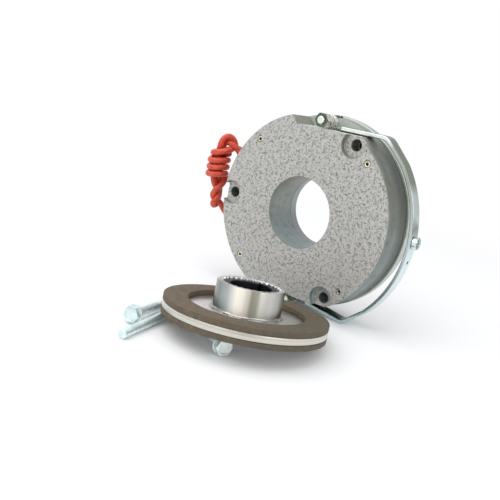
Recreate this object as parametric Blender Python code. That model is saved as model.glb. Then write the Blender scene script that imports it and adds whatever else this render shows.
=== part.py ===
"""Spring applied brake with its hand release, its rotor taken out and laid in front.

The magnet stands on edge with its axis along Y and its painted face towards -Y.
Sizes are in metres, +Z is up, and the floor is z = 0.
"""
import math

import bmesh
import bpy
import numpy as np
from mathutils import Matrix, Vector

# Magnet housing, measured from its painted face at y = 0 towards +Y
MAGNET_RADIUS = 0.095
MAGNET_LENGTH = 0.0387
BORE_RADIUS = 0.0348
INNER_POLE_WALL = 0.0082
OUTER_POLE_WALL = 0.030
COIL_POCKET_INNER = BORE_RADIUS + INNER_POLE_WALL
COIL_POCKET_OUTER = MAGNET_RADIUS - OUTER_POLE_WALL
COIL_POCKET_FLOOR = 0.011
EDGE_ROUND = 0.0012

# Flats on both sides for the hand release, as deep as its ears
FLAT_DEPTH = 0.012
FLAT_HEIGHT = MAGNET_RADIUS - FLAT_DEPTH
FLAT_LENGTH = 0.0313
FLAT_END_X = -0.0205

# Three fixing holes on one circle, each with a sunk seat that breaks out at the rim
FIXING_EDGE = 0.009
FIXING_CIRCLE = MAGNET_RADIUS - FIXING_EDGE
FIXING_ANGLES = (60, 180, 300)
FIXING_HOLE_RADIUS = 0.0053
SCREW_SEAT_RADIUS = 0.0120
SCREW_SEAT_DEPTH = 0.0065

# Guide sleeves, screwed into the housing and reaching past the rotor
SLEEVE_RADIUS = 0.0075
SLEEVE_BORE_RADIUS = 0.0044
SLEEVE_START = 0.0205
SLEEVE_CHAMFER = 0.0008

# Small set screws in the painted face
SET_SCREW_EDGE = 0.009
SET_SCREW_CIRCLE = MAGNET_RADIUS - SET_SCREW_EDGE
SET_SCREW_ANGLES = (45, 135, 225, 315)
SET_SCREW_RADIUS = 0.0029
SET_SCREW_LENGTH = 0.0075
SET_SCREW_SINK = 0.0005
SET_SCREW_HEX = 0.0030
SET_SCREW_HEX_DEPTH = 0.0025

# Coil and its bobbin
BOBBIN_WALL = 0.0015
WINDING_TOP_GAP = 0.0008
SEAL_RING = 0.0018

# Thrust springs between housing and armature plate
SPRING_COUNT = 8
SPRING_EDGE = 0.0208
SPRING_CIRCLE = MAGNET_RADIUS - SPRING_EDGE
SPRING_POCKET_RADIUS = 0.0056
SPRING_PLAY = 0.0005
SPRING_POCKET_FLOOR = 0.017
SPRING_WIRE = 0.0016
SPRING_TURNS = 3.5

# Armature plate
AIR_GAP = 0.0004
PLATE_OVERHANG = 0.002
PLATE_RADIUS = MAGNET_RADIUS + PLATE_OVERHANG
PLATE_THICKNESS = 0.0104
PLATE_BORE_STEP = 0.0001
PLATE_BORE = BORE_RADIUS + PLATE_BORE_STEP

# Pull bolts and their nuts
BOLT_EDGE = 0.0045
BOLT_OFFSET = MAGNET_RADIUS - BOLT_EDGE
BOLT_RADIUS = 0.004
BOLT_TIP_Y = 0.006
NUT_FRONT_Y = 0.0083
NUT_LENGTH = 0.0080
HEX_ACROSS_FLATS = 0.013
BOLT_HEAD_HEIGHT = 0.0053
NOTCH_RADIUS = 0.0046

# Release bail, a bent strip
BAIL_THICKNESS = 0.0036
BAIL_WIDTH = 0.014
BAIL_ARM_GAP = 0.0016
BAIL_ARM_HEIGHT = FLAT_HEIGHT + BAIL_ARM_GAP + BAIL_THICKNESS / 2
BAIL_START_X = -0.0105
BAIL_NARROW_END_X = 0.008
BAIL_FULL_WIDTH_X = 0.019
BAIL_ARC_GAP = 0.0158
BAIL_ARC_RADIUS = MAGNET_RADIUS + BAIL_ARC_GAP + BAIL_THICKNESS / 2
BAIL_ARC_CENTRE = (-0.003, -0.0032)
BAIL_TOP_FALL = 0.0006
BAIL_LOW_FALL = 0.0096
BAIL_BEND_RADIUS = 0.011
EAR_TOP_RADIUS = 0.0062
EAR_HALF_WIDTH = 0.0105
EAR_INSET = 0.0003
EAR_HOLE_RADIUS = 0.0049
LOCK_HOLE_RADIUS = 0.0017
LOCK_HOLE_DROP = 0.0193
RELEASE_SPRING_WIRE = 0.0009
RELEASE_SPRING_RADIUS = 0.0054
RELEASE_SPRING_TURNS = 4.5

# Threaded boss on the bail for the lever
BOSS_RADIUS = 0.0061
BOSS_LENGTH = 0.0043
BOSS_NECK_RADIUS = 0.0048
BOSS_NECK_OUT = 0.0006
BOSS_THREAD_RADIUS = 0.0034

# Leads, their grommet and the hank that they are wound into
LEAD_RADIUS = 0.0029
LEAD_ANGLE = 168.5
LEAD_Y = 0.0235
LEAD_SPACING = 0.0070
LEAD_STUB = 0.002
GROMMET_HALF_WIDTH = 0.0042
GROMMET_WALL = 0.0008
GROMMET_OUT = 0.003

# Rotor: carrier with a toothed collar, two linings and a splined hub
ROTOR_RADIUS = 0.0725
LINING_WIDTH = 0.021
LINING_INNER = ROTOR_RADIUS - LINING_WIDTH
LINING_THICKNESS = 0.0048
CARRIER_THICKNESS = 0.0058
COLLAR_RADIUS = 0.0300
COLLAR_HEIGHT = 0.0244
COLLAR_FOOT = 0.0015
TEETH = 30
TOOTH_ROOT = 0.0262
TOOTH_TIP = 0.0248
TOOTH_CUT_WALL = 0.003
HUB_BORE_RADIUS = 0.0185
HUB_SINK = 0.0014
KEY_WIDTH = 0.010
KEY_DEPTH = 0.0033
ROTOR_STAND_OFF = 0.0215
ROTOR_CENTRE = (0.0260, -ROTOR_STAND_OFF - ROTOR_RADIUS)
ROTOR_RAISED_TOWARDS = -63.4

# Loose fixing screws, one under the rotor and one beside it: how far the head's end lies beyond the
# rotor's rim, the direction from its centre, and the screw's heading
SCREW_RADIUS = 0.004
SCREW_LENGTH = 0.070
SCREW_PLACES = ((-0.01432, -65.638, 155.0), (0.02455, -129.397, 103.5))
WASHER_RADIUS = 0.008
WASHER_THICKNESS = 0.0016

# Loose release lever, a rod with a thinner threaded end, from the floor in front to under the rotor
LEVER_RADIUS = 0.004
LEVER_LENGTH = 0.075
LEVER_THREAD_RADIUS = 0.003
LEVER_THREAD_LENGTH = 0.010
LEVER_PLACE = (0.03641, -112.797, 102.2)

CHAMFER = 0.0006
GAP = 0.0003
FLOOR_GAP = 0.0001
AXIS_HEIGHT = PLATE_RADIUS
PLATE_FRONT = MAGNET_LENGTH + AIR_GAP
PLATE_BACK = PLATE_FRONT + PLATE_THICKNESS
ROTOR_THICKNESS = CARRIER_THICKNESS + 2 * LINING_THICKNESS
SLEEVE_END = PLATE_BACK + ROTOR_THICKNESS
EAR_BACK_Y = FLAT_LENGTH - GAP
EAR_FRONT_Y = EAR_BACK_Y - BAIL_THICKNESS
BAIL_FRONT_Y = EAR_BACK_Y - BAIL_WIDTH
HEX_RADIUS = HEX_ACROSS_FLATS / math.sqrt(3)
OVERCUT = 0.002

for old in list(bpy.data.objects):
    bpy.data.objects.remove(old, do_unlink=True)

assembly = bpy.data.objects.new("brake_assembly", None)
magnet_axis = bpy.data.objects.new("magnet_axis", None)
rotor_frame = bpy.data.objects.new("rotor_frame", None)
for empty in (assembly, magnet_axis, rotor_frame):
    bpy.context.scene.collection.objects.link(empty)
magnet_axis.parent = assembly
magnet_axis.location = (0, 0, AXIS_HEIGHT)
rotor_frame.parent = assembly


def material(name, colour, roughness, metallic):
    """One Principled material with its colour, roughness and metallic value."""
    made = bpy.data.materials.new(name)
    made.use_nodes = True
    shader = made.node_tree.nodes["Principled BSDF"]
    shader.inputs["Base Color"].default_value = (*colour, 1)
    shader.inputs["Roughness"].default_value = roughness
    shader.inputs["Metallic"].default_value = metallic
    return made


HAMMER_PAINT = material("hammer_paint", (0.43, 0.42, 0.40), 0.45, 0.2)
STEEL = material("machined_steel", (0.42, 0.44, 0.41), 0.35, 1.0)
ZINC = material("bright_zinc", (0.72, 0.78, 0.78), 0.25, 1.0)
YELLOW_ZINC = material("yellow_zinc", (0.70, 0.62, 0.38), 0.3, 1.0)
DARK_STEEL = material("dark_steel", (0.08, 0.09, 0.09), 0.4, 1.0)
ALUMINIUM = material("turned_aluminium", (0.82, 0.80, 0.77), 0.3, 1.0)
LINING = material("friction_lining", (0.25, 0.20, 0.14), 0.85, 0.0)
COPPER = material("enamelled_copper", (0.55, 0.26, 0.12), 0.35, 1.0)
NYLON = material("nylon", (0.80, 0.78, 0.70), 0.5, 0.0)
RESIN = material("potting_resin", (0.05, 0.05, 0.05), 0.5, 0.0)
RUBBER = material("rubber", (0.03, 0.03, 0.03), 0.8, 0.0)
SILICONE = material("red_silicone", (0.72, 0.10, 0.05), 0.45, 0.0)


def place(mesh_name, bm, finish, parent, sharp=35):
    """Turns a finished bmesh into one named object with its material."""
    bmesh.ops.remove_doubles(bm, verts=bm.verts, dist=1e-6)
    bmesh.ops.recalc_face_normals(bm, faces=bm.faces)
    mesh = bpy.data.meshes.new(mesh_name)
    bm.to_mesh(mesh)
    bm.free()
    mesh.shade_smooth()
    mesh.set_sharp_from_angle(angle=math.radians(sharp))
    made = bpy.data.objects.new(mesh_name, mesh)
    bpy.context.scene.collection.objects.link(made)
    made.parent = parent
    if finish:
        mesh.materials.append(finish)
    return made


def polar(radius, degrees):
    """X and Z of a point at an angle round the brake's axis."""
    return radius * math.cos(math.radians(degrees)), radius * math.sin(math.radians(degrees))


def turned(name, profile, finish, parent, steps=64, along="Y"):
    """Closed profile of (radius, position) points, turned round the axis."""
    bm = bmesh.new()
    ring = [bm.verts.new((radius, position, 0)) for radius, position in profile]
    on_axis = [radius == 0 for radius, position in profile]
    edges = [bm.edges.new((ring[i - 1], ring[i])) for i in range(len(ring)) if not (on_axis[i - 1] and on_axis[i])]
    bmesh.ops.spin(bm, geom=ring + edges, cent=(0, 0, 0), axis=(0, 1, 0),
                   angle=2 * math.pi, steps=steps, use_merge=True)
    if along == "Z":
        bmesh.ops.rotate(bm, verts=bm.verts, cent=(0, 0, 0), matrix=Matrix.Rotation(math.pi / 2, 3, "X"))
    return place(name, bm, finish, parent)


def prism(name, outline, low, high, finish, parent, along="Y", holes=()):
    """Outline of (a, b) points drawn out from low to high.

    Along Y the points are (x, z), along Z they are (x, y), along X they are (y, z).
    """
    turn = {"Y": lambda a, b, c: (a, c, b), "Z": lambda a, b, c: (a, b, c), "X": lambda a, b, c: (c, a, b)}[along]
    bm = bmesh.new()
    for loop in (outline, *holes):
        ring = [bm.verts.new(turn(a, b, low)) for a, b in loop]
        for i in range(len(ring)):
            bm.edges.new((ring[i - 1], ring[i]))
    bmesh.ops.triangle_fill(bm, use_beauty=True, use_dissolve=False, edges=bm.edges)
    drawn = bmesh.ops.extrude_face_region(bm, geom=bm.faces[:])
    top = [v for v in drawn["geom"] if isinstance(v, bmesh.types.BMVert)]
    shift = Vector(turn(0, 0, high - low))
    bmesh.ops.translate(bm, verts=top, vec=shift)
    return place(name, bm, finish, parent)


def circle(radius, count, centre=(0, 0), phase=0.0):
    """Points round a circle."""
    turn = 2 * math.pi / count
    return [(centre[0] + radius * math.cos(phase + i * turn), centre[1] + radius * math.sin(phase + i * turn))
            for i in range(count)]


def hide(cutter):
    """Marks an object as a guide that only shapes another."""
    cutter.hide_render = True
    cutter.display_type = "WIRE"
    return cutter


def cut(target, cutter, how="DIFFERENCE"):
    """Cuts or joins one object with another by an exact Boolean."""
    hide(cutter)
    change = target.modifiers.new(cutter.name, "BOOLEAN")
    change.operation = how
    change.solver = "EXACT"
    change.object = cutter
    return target


def rod_along(name, radius, start, end, parent, sides=20, finish=None):
    """Round bar between two points."""
    start, end = Vector(start), Vector(end)
    bm = bmesh.new()
    bmesh.ops.create_cone(bm, cap_ends=True, segments=sides, radius1=radius, radius2=radius,
                          depth=(end - start).length)
    turn = Vector((0, 0, 1)).rotation_difference(end - start).to_matrix().to_4x4()
    bmesh.ops.transform(bm, matrix=Matrix.Translation((start + end) / 2) @ turn, verts=bm.verts)
    return place(name, bm, finish, parent)


def spring(name, mean_radius, wire_radius, turns, start, end, parent, finish, steps=8, sides=5):
    """Round wire wound from one Y to another, with flat closed ends; centred on the object's own axis."""
    count = int(turns * steps)
    run = end - start - 2 * wire_radius
    bm = bmesh.new()
    rings = []
    for i in range(count + 1):
        part = i / count
        angle = 2 * math.pi * turns * part
        ease = min(max((part * turns - 0.6) / (turns - 1.2), 0), 1)
        y = start + wire_radius + run * ease
        out = Vector((math.cos(angle), 0, math.sin(angle)))
        centre = out * mean_radius + Vector((0, y, 0))
        ring = [bm.verts.new(centre + wire_radius * (math.cos(a) * out + math.sin(a) * Vector((0, 1, 0))))
                for a in (2 * math.pi * k / sides for k in range(sides))]
        rings.append(ring)
    for first, second in zip(rings, rings[1:]):
        for k in range(sides):
            bm.faces.new((first[k - 1], first[k], second[k], second[k - 1]))
    bm.faces.new(rings[0])
    bm.faces.new(rings[-1][::-1])
    return place(name, bm, finish, parent)


def magnet_housing():
    """Turned steel pot with its coil pocket open at the back, then drilled and milled."""
    r, e = MAGNET_RADIUS, EDGE_ROUND
    profile = [(BORE_RADIUS + e, 0), (r - e, 0), (r, e), (r, MAGNET_LENGTH),
               (COIL_POCKET_OUTER, MAGNET_LENGTH), (COIL_POCKET_OUTER, COIL_POCKET_FLOOR),
               (COIL_POCKET_INNER, COIL_POCKET_FLOOR), (COIL_POCKET_INNER, MAGNET_LENGTH),
               (BORE_RADIUS, MAGNET_LENGTH), (BORE_RADIUS, e)]
    body = turned("magnet_housing", profile, HAMMER_PAINT, magnet_axis, steps=92)
    far = MAGNET_LENGTH + OVERCUT
    near = -OVERCUT
    for number, angle in enumerate(FIXING_ANGLES):
        x, z = polar(FIXING_CIRCLE, angle)
        through = rod_along(f"cut_fixing_{number}", FIXING_HOLE_RADIUS, (x, near, z), (x, far, z), magnet_axis)
        seat = rod_along(f"cut_seat_{number}", SCREW_SEAT_RADIUS, (x, near, z), (x, SCREW_SEAT_DEPTH, z),
                         magnet_axis, 28)
        sleeve = rod_along(f"cut_sleeve_{number}", SLEEVE_RADIUS + GAP, (x, SLEEVE_START - GAP, z), (x, far, z),
                           magnet_axis)
        cut(body, through)
        cut(body, seat)
        cut(body, sleeve)
    for number, angle in enumerate(SET_SCREW_ANGLES):
        x, z = polar(SET_SCREW_CIRCLE, angle)
        cut(body, rod_along(f"cut_set_screw_{number}", SET_SCREW_RADIUS + GAP, (x, near, z),
                            (x, SET_SCREW_SINK + SET_SCREW_LENGTH + GAP, z), magnet_axis, 16))
    for number in range(SPRING_COUNT):
        x, z = polar(SPRING_CIRCLE, 360 * (number + 0.5) / SPRING_COUNT)
        cut(body, rod_along(f"cut_spring_{number}", SPRING_POCKET_RADIUS, (x, SPRING_POCKET_FLOOR, z),
                            (x, far, z), magnet_axis, 12))
    for side, word in ((1, "top"), (-1, "low")):
        reach = MAGNET_RADIUS + OVERCUT
        outline = [(FLAT_END_X, FLAT_HEIGHT * side), (reach, FLAT_HEIGHT * side), (reach, reach * side),
                   (FLAT_END_X - (reach - FLAT_HEIGHT), reach * side)]
        cut(body, prism(f"cut_flat_{word}", outline, near, FLAT_LENGTH, None, magnet_axis))
        cut(body, notch(f"cut_notch_{word}", side, FLAT_LENGTH - OVERCUT, far, reach))
    cut(body, grommet_shape("cut_grommet", GAP, COIL_POCKET_OUTER - OVERCUT, MAGNET_RADIUS + OVERCUT, None))
    return body


def notch(name, side, low, high, reach):
    """Open slot with a round floor, for a pull bolt."""
    r = NOTCH_RADIUS
    floor = [(r * math.cos(a), side * (BOLT_OFFSET + r * math.sin(a)))
             for a in (math.pi + math.pi * k / 10 for k in range(11))]
    return prism(name, floor + [(r, side * reach), (-r, side * reach)], low, high, None, magnet_axis)


def grommet_shape(name, extra, inner, outer, finish):
    """Oval plug that runs out along a radius at the leads' angle."""
    half = GROMMET_HALF_WIDTH + extra
    reach = LEAD_SPACING / 2 + LEAD_RADIUS + GROMMET_WALL - GROMMET_HALF_WIDTH
    ends = [(reach + half * math.cos(a), half * math.sin(a)) for a in np.linspace(-math.pi / 2, math.pi / 2, 7)]
    ends += [(-reach - half * math.cos(a), half * math.sin(a)) for a in np.linspace(math.pi / 2, -math.pi / 2, 7)]
    plug = prism(name, [(LEAD_Y + a, b) for a, b in ends], inner, outer, finish, magnet_axis, along="X")
    plug.data.transform(Matrix.Rotation(-math.radians(LEAD_ANGLE), 4, "Y"))
    return plug


def coil():
    """Bobbin, winding and the ring that seals the pocket."""
    inner, outer = COIL_POCKET_INNER + GAP, COIL_POCKET_OUTER - GAP
    low = COIL_POCKET_FLOOR + GAP
    high = MAGNET_LENGTH - SEAL_RING - 2 * GAP
    wall = BOBBIN_WALL
    turned("coil_bobbin", [(inner, low), (outer, low), (outer, low + wall), (inner + wall, low + wall),
                           (inner + wall, high - wall), (outer, high - wall), (outer, high), (inner, high)],
           NYLON, magnet_axis, 48)
    turned("coil_winding", [(inner + wall + GAP, low + wall + GAP), (outer - WINDING_TOP_GAP, low + wall + GAP),
                            (outer - WINDING_TOP_GAP, high - wall - GAP), (inner + wall + GAP, high - wall - GAP)],
           COPPER, magnet_axis, 48)
    turned("coil_seal_ring", [(inner, high + GAP), (outer, high + GAP), (outer, high + GAP + SEAL_RING),
                              (inner, high + GAP + SEAL_RING)], RESIN, magnet_axis, 48)


def thrust_springs():
    """Springs that push the armature plate against the rotor."""
    for number in range(SPRING_COUNT):
        x, z = polar(SPRING_CIRCLE, 360 * (number + 0.5) / SPRING_COUNT)
        made = spring(f"thrust_spring_{number + 1}", SPRING_POCKET_RADIUS - SPRING_PLAY - SPRING_WIRE / 2,
                      SPRING_WIRE / 2, SPRING_TURNS, SPRING_POCKET_FLOOR + GAP, PLATE_FRONT - GAP, magnet_axis, STEEL)
        made.location = (x, 0, z)


def armature_plate():
    """Steel disc that the coil pulls, with sleeve holes and two open notches for the pull bolts."""
    b, r, e = PLATE_BORE, PLATE_RADIUS, CHAMFER
    plate = turned("armature_plate", [(b, PLATE_FRONT), (r - e, PLATE_FRONT), (r, PLATE_FRONT + e),
                                      (r, PLATE_BACK - e), (r - e, PLATE_BACK), (b, PLATE_BACK)],
                   STEEL, magnet_axis, 96)
    for number, angle in enumerate(FIXING_ANGLES):
        x, z = polar(FIXING_CIRCLE, angle)
        cut(plate, rod_along(f"cut_guide_{number}", SLEEVE_RADIUS + 2 * GAP, (x, PLATE_FRONT - OVERCUT, z),
                             (x, PLATE_BACK + OVERCUT, z), magnet_axis))
    for side, word in ((1, "top"), (-1, "low")):
        cut(plate, notch(f"cut_plate_notch_{word}", side, PLATE_FRONT - OVERCUT, PLATE_BACK + OVERCUT,
                         PLATE_RADIUS + OVERCUT))


def guide_sleeves():
    """Hollow screws that space the motor's flange from the magnet and guide the plate."""
    c = SLEEVE_CHAMFER
    inner, outer = SLEEVE_BORE_RADIUS, SLEEVE_RADIUS
    profile = [(inner, SLEEVE_START), (outer - c, SLEEVE_START), (outer, SLEEVE_START + c), (outer, SLEEVE_END - c),
               (outer - c, SLEEVE_END), (inner, SLEEVE_END)]
    for number, angle in enumerate(FIXING_ANGLES):
        x, z = polar(FIXING_CIRCLE, angle)
        made = turned(f"guide_sleeve_{number + 1}", profile, ZINC, magnet_axis, 20)
        made.location = (x, 0, z)


def set_screws():
    """Socket set screws sunk in the painted face."""
    for number, angle in enumerate(SET_SCREW_ANGLES):
        x, z = polar(SET_SCREW_CIRCLE, angle)
        made = rod_along(f"set_screw_{number + 1}", SET_SCREW_RADIUS, (0, SET_SCREW_SINK, 0),
                         (0, SET_SCREW_SINK + SET_SCREW_LENGTH, 0), magnet_axis, 16, YELLOW_ZINC)
        made.location = (x, 0, z)
        socket = prism(f"cut_set_hex_{number + 1}", circle(SET_SCREW_HEX / math.sqrt(3), 6),
                       SET_SCREW_SINK - OVERCUT, SET_SCREW_SINK + SET_SCREW_HEX_DEPTH, None, magnet_axis)
        socket.location = (x, 0, z)
        cut(made, socket)


def pull_bolts():
    """Bolts from the back of the armature plate to their nuts in front of the bail's ears."""
    for side, word in ((1, "top"), (-1, "low")):
        tip = [(0.0, BOLT_TIP_Y), (BOLT_RADIUS - CHAMFER, BOLT_TIP_Y), (BOLT_RADIUS, BOLT_TIP_Y + CHAMFER),
               (BOLT_RADIUS, PLATE_BACK + GAP + BOLT_HEAD_HEIGHT / 2), (0.0, PLATE_BACK + GAP + BOLT_HEAD_HEIGHT / 2)]
        bolt = turned(f"pull_bolt_{word}", tip, STEEL, magnet_axis, 20)
        bolt.location = (0, 0, side * BOLT_OFFSET)
        head = prism(f"join_bolt_head_{word}", circle(HEX_RADIUS, 6), PLATE_BACK + GAP,
                     PLATE_BACK + GAP + BOLT_HEAD_HEIGHT, None, magnet_axis)
        head.location = bolt.location
        cut(bolt, head, "UNION")
        nut = prism(f"release_nut_{word}", circle(HEX_RADIUS, 6), NUT_FRONT_Y, NUT_FRONT_Y + NUT_LENGTH, STEEL,
                    magnet_axis, holes=[circle(BOLT_RADIUS + GAP, 20)])
        nut.location = bolt.location
        coil_end = EAR_FRONT_Y - GAP
        made = spring(f"release_spring_{word}", RELEASE_SPRING_RADIUS, RELEASE_SPRING_WIRE / 2,
                      RELEASE_SPRING_TURNS, NUT_FRONT_Y + NUT_LENGTH + GAP, coil_end, magnet_axis, ZINC)
        made.location = bolt.location


def round_corner(before, corner, after, radius, steps=6):
    """Points of the arc that rounds the corner between two straight runs."""
    before, corner, after = (np.array(p, float) for p in (before, corner, after))
    u = (before - corner) / np.linalg.norm(before - corner)
    v = (after - corner) / np.linalg.norm(after - corner)
    half = math.acos(np.clip(u @ v, -1, 1)) / 2
    reach = radius / math.tan(half)
    centre = corner + (u + v) / np.linalg.norm(u + v) * radius / math.sin(half)
    first, last = corner + u * reach - centre, corner + v * reach - centre
    points = []
    for k in range(steps + 1):
        mix = first * (1 - k / steps) + last * k / steps
        points.append(tuple(centre + mix / np.linalg.norm(mix) * radius))
    return points


def bail_path():
    """Middle line of the strip in the X and Z plane, from the upper ear round to the lower one.

    The arc ends where it meets each arm, a little nearer the floor than that arm's start.
    """
    cx, cz = BAIL_ARC_CENTRE
    first = math.asin((BAIL_ARM_HEIGHT - BAIL_TOP_FALL - cz) / BAIL_ARC_RADIUS)
    last = math.asin((-BAIL_ARM_HEIGHT - BAIL_LOW_FALL - cz) / BAIL_ARC_RADIUS)
    arc = [(cx + BAIL_ARC_RADIUS * math.cos(a), cz + BAIL_ARC_RADIUS * math.sin(a))
           for a in np.linspace(first, last, 33)]
    top_bend, low_bend = arc[0], arc[-1]
    top_arm, low_arm = (BAIL_FULL_WIDTH_X, BAIL_ARM_HEIGHT), (BAIL_FULL_WIDTH_X, -BAIL_ARM_HEIGHT)
    path = [(BAIL_START_X, BAIL_ARM_HEIGHT), (BAIL_NARROW_END_X, BAIL_ARM_HEIGHT), top_arm]
    path += round_corner(top_arm, top_bend, arc[4], BAIL_BEND_RADIUS)
    path += arc[5:-5]
    path += round_corner(arc[-5], low_bend, low_arm, BAIL_BEND_RADIUS)
    path += [low_arm, (BAIL_NARROW_END_X, -BAIL_ARM_HEIGHT), (BAIL_START_X, -BAIL_ARM_HEIGHT)]
    return [Vector((x, 0, z)) for x, z in path]


def release_bail():
    """Bent strip with an upturned ear at each end, drilled for the pull bolts, the boss and a locking screw."""
    path = bail_path()
    bm = bmesh.new()
    sections = []
    for i, point in enumerate(path):
        ahead = (path[min(i + 1, len(path) - 1)] - point).normalized() if i + 1 < len(path) else None
        behind = (point - path[i - 1]).normalized() if i else None
        along = ((ahead or behind) + (behind or ahead)).normalized()
        out = Vector((-along.z, 0, along.x)) * (BAIL_THICKNESS / 2)
        at_ear = min(i, len(path) - 1 - i) < 2
        front = EAR_FRONT_Y if at_ear else BAIL_FRONT_Y
        sections.append([bm.verts.new(point + shift + Vector((0, y, 0)))
                         for shift, y in ((out, front), (-out, front), (-out, EAR_BACK_Y), (out, EAR_BACK_Y))])
    for first, second in zip(sections, sections[1:]):
        for k in range(4):
            bm.faces.new((first[k - 1], first[k], second[k], second[k - 1]))
    bm.faces.new(sections[0])
    bm.faces.new(sections[-1][::-1])
    bail = place("release_bail", bm, ZINC, magnet_axis, 30)
    for side, word in ((1, "top"), (-1, "low")):
        inner = BAIL_ARM_HEIGHT
        spread = math.radians(28)
        crown = [(EAR_TOP_RADIUS * math.sin(a), BOLT_OFFSET + EAR_TOP_RADIUS * math.cos(a))
                 for a in np.linspace(math.pi / 2 + spread / 4, -math.pi / 2 - spread / 4, 13)]
        outline = [(EAR_HALF_WIDTH - EAR_INSET, inner), *crown, (-EAR_HALF_WIDTH + EAR_INSET, inner)]
        ear = prism(f"join_ear_{word}", [(x, side * z) for x, z in outline], EAR_FRONT_Y, EAR_BACK_Y, None, magnet_axis)
        cut(bail, ear, "UNION")
        cut(bail, rod_along(f"cut_ear_{word}", EAR_HOLE_RADIUS, (0, EAR_FRONT_Y - OVERCUT, side * BOLT_OFFSET),
                            (0, EAR_BACK_Y + OVERCUT, side * BOLT_OFFSET), magnet_axis, 20))
    middle = (BAIL_FRONT_Y + EAR_BACK_Y) / 2
    right = BAIL_ARC_CENTRE[0] + BAIL_ARC_RADIUS
    low, high = right - BAIL_THICKNESS - OVERCUT, right + BAIL_THICKNESS + OVERCUT
    cut(bail, rod_along("cut_boss_hole", BOSS_NECK_RADIUS + GAP, (low, middle, 0), (high, middle, 0), magnet_axis, 20))
    cut(bail, rod_along("cut_lock_hole", LOCK_HOLE_RADIUS, (low, middle, -LOCK_HOLE_DROP),
                        (high, middle, -LOCK_HOLE_DROP), magnet_axis, 12))
    return middle, right


def lever_boss(middle, right):
    """Threaded bush for the lever, its neck riveted through the strip."""
    seat = right + BAIL_THICKNESS / 2 + GAP
    neck = right - BAIL_THICKNESS / 2 - BOSS_NECK_OUT
    end = seat + BOSS_LENGTH
    profile = [(BOSS_THREAD_RADIUS, neck), (BOSS_NECK_RADIUS, neck), (BOSS_NECK_RADIUS, seat), (BOSS_RADIUS, seat),
               (BOSS_RADIUS, end - CHAMFER), (BOSS_RADIUS - CHAMFER, end), (BOSS_THREAD_RADIUS, end)]
    boss = turned("lever_boss", profile, ZINC, magnet_axis, 28)
    boss.rotation_euler = (0, 0, -math.pi / 2)
    boss.location = (0, middle, 0)


def smooth_route(points, spacing):
    """Even points on a smooth curve through the route's own points."""
    points = [np.array(p, float) for p in points]
    padded = [2 * points[0] - points[1], *points, 2 * points[-1] - points[-2]]
    fine = []
    for p0, p1, p2, p3 in zip(padded, padded[1:], padded[2:], padded[3:]):
        for t in np.linspace(0, 1, 16, endpoint=False):
            fine.append(0.5 * (2 * p1 + (p2 - p0) * t + (2 * p0 - 5 * p1 + 4 * p2 - p3) * t ** 2
                               + (3 * p1 - p0 - 3 * p2 + p3) * t ** 3))
    fine.append(points[-1])
    fine = np.array(fine)
    travelled = np.concatenate([[0], np.cumsum(np.linalg.norm(np.diff(fine, axis=0), axis=1))])
    count = max(int(round(travelled[-1] / spacing)), 2)
    marks = np.linspace(0, travelled[-1], count + 1)
    return np.stack([np.interp(marks, travelled, fine[:, k]) for k in range(3)], axis=1)


# Where the leads arch over to the hank and where its top lies, from where they leave the magnet's rim,
# and the hank's height under its top, half width and half depth at each section
LEAD_ARCH = ((-0.0074, 0.0005, 0.0041), (-0.0102, 0.0015, 0.0111), (-0.0108, 0.0015, 0.0181),
             (-0.0122, 0.0005, 0.0251), (-0.0160, -0.0028, 0.0306), (-0.0212, -0.0064, 0.0336))
HANK_TOP = (-0.0272, -0.0094, 0.0251)
HANK_SECTIONS = ((0.0, 0.0090, 0.0075), (0.0020, 0.0125, 0.0115), (0.0075, 0.0125, 0.0115),
                 (0.0105, 0.0105, 0.0100), (0.0135, 0.0129, 0.0125), (0.0335, 0.0129, 0.0125),
                 (0.0360, 0.0095, 0.0085), (0.0470, 0.0068, 0.0070), (0.0540, 0.0075, 0.0075),
                 (0.0640, 0.0065, 0.0070), (0.0702, 0.0045, 0.0055))


def leads():
    """Two silicone leads from the grommet to the hank, and the hank's outer shape."""
    grommet_shape("lead_grommet", 0, COIL_POCKET_OUTER + GAP, MAGNET_RADIUS + GROMMET_OUT, RUBBER)
    out = Vector((math.cos(math.radians(LEAD_ANGLE)), 0, math.sin(math.radians(LEAD_ANGLE))))
    rim = out * MAGNET_RADIUS + Vector((0, LEAD_Y, 0))
    hank_top = rim + Vector(HANK_TOP)
    for number, shift in enumerate((-LEAD_SPACING / 2, LEAD_SPACING / 2)):
        offset = Vector((0, shift, 0))
        start = rim + out * (GROMMET_OUT + GAP) + offset
        end = hank_top + offset + Vector((0, 0, GAP))
        route = [start + out * LEAD_STUB, *[rim + Vector(p) + offset for p in LEAD_ARCH],
                 end + Vector((0, 0, LEAD_STUB))]
        points = [start, *smooth_route(route, 2.2 * 2 * LEAD_RADIUS), end]
        curve = bpy.data.curves.new(f"lead_{number + 1}", "CURVE")
        curve.dimensions = "3D"
        curve.bevel_depth = LEAD_RADIUS
        curve.bevel_resolution = 2
        curve.use_fill_caps = True
        line = curve.splines.new("POLY")
        line.points.add(len(points) - 1)
        for point, place_at in zip(line.points, points):
            point.co = (*place_at, 1)
        curve.materials.append(SILICONE)
        lead = bpy.data.objects.new(f"lead_{number + 1}", curve)
        bpy.context.scene.collection.objects.link(lead)
        lead.parent = magnet_axis
    bm = bmesh.new()
    rings = [[bm.verts.new(hank_top + Vector((half_x * math.cos(a), half_y * math.sin(a), -drop)))
              for a in (2 * math.pi * k / 16 for k in range(16))] for drop, half_x, half_y in HANK_SECTIONS]
    for first, second in zip(rings, rings[1:]):
        for k in range(16):
            bm.faces.new((first[k - 1], first[k], second[k], second[k - 1]))
    bm.faces.new(rings[0])
    bm.faces.new(rings[-1][::-1])
    place("lead_hank", bm, SILICONE, magnet_axis, 60)


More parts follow.
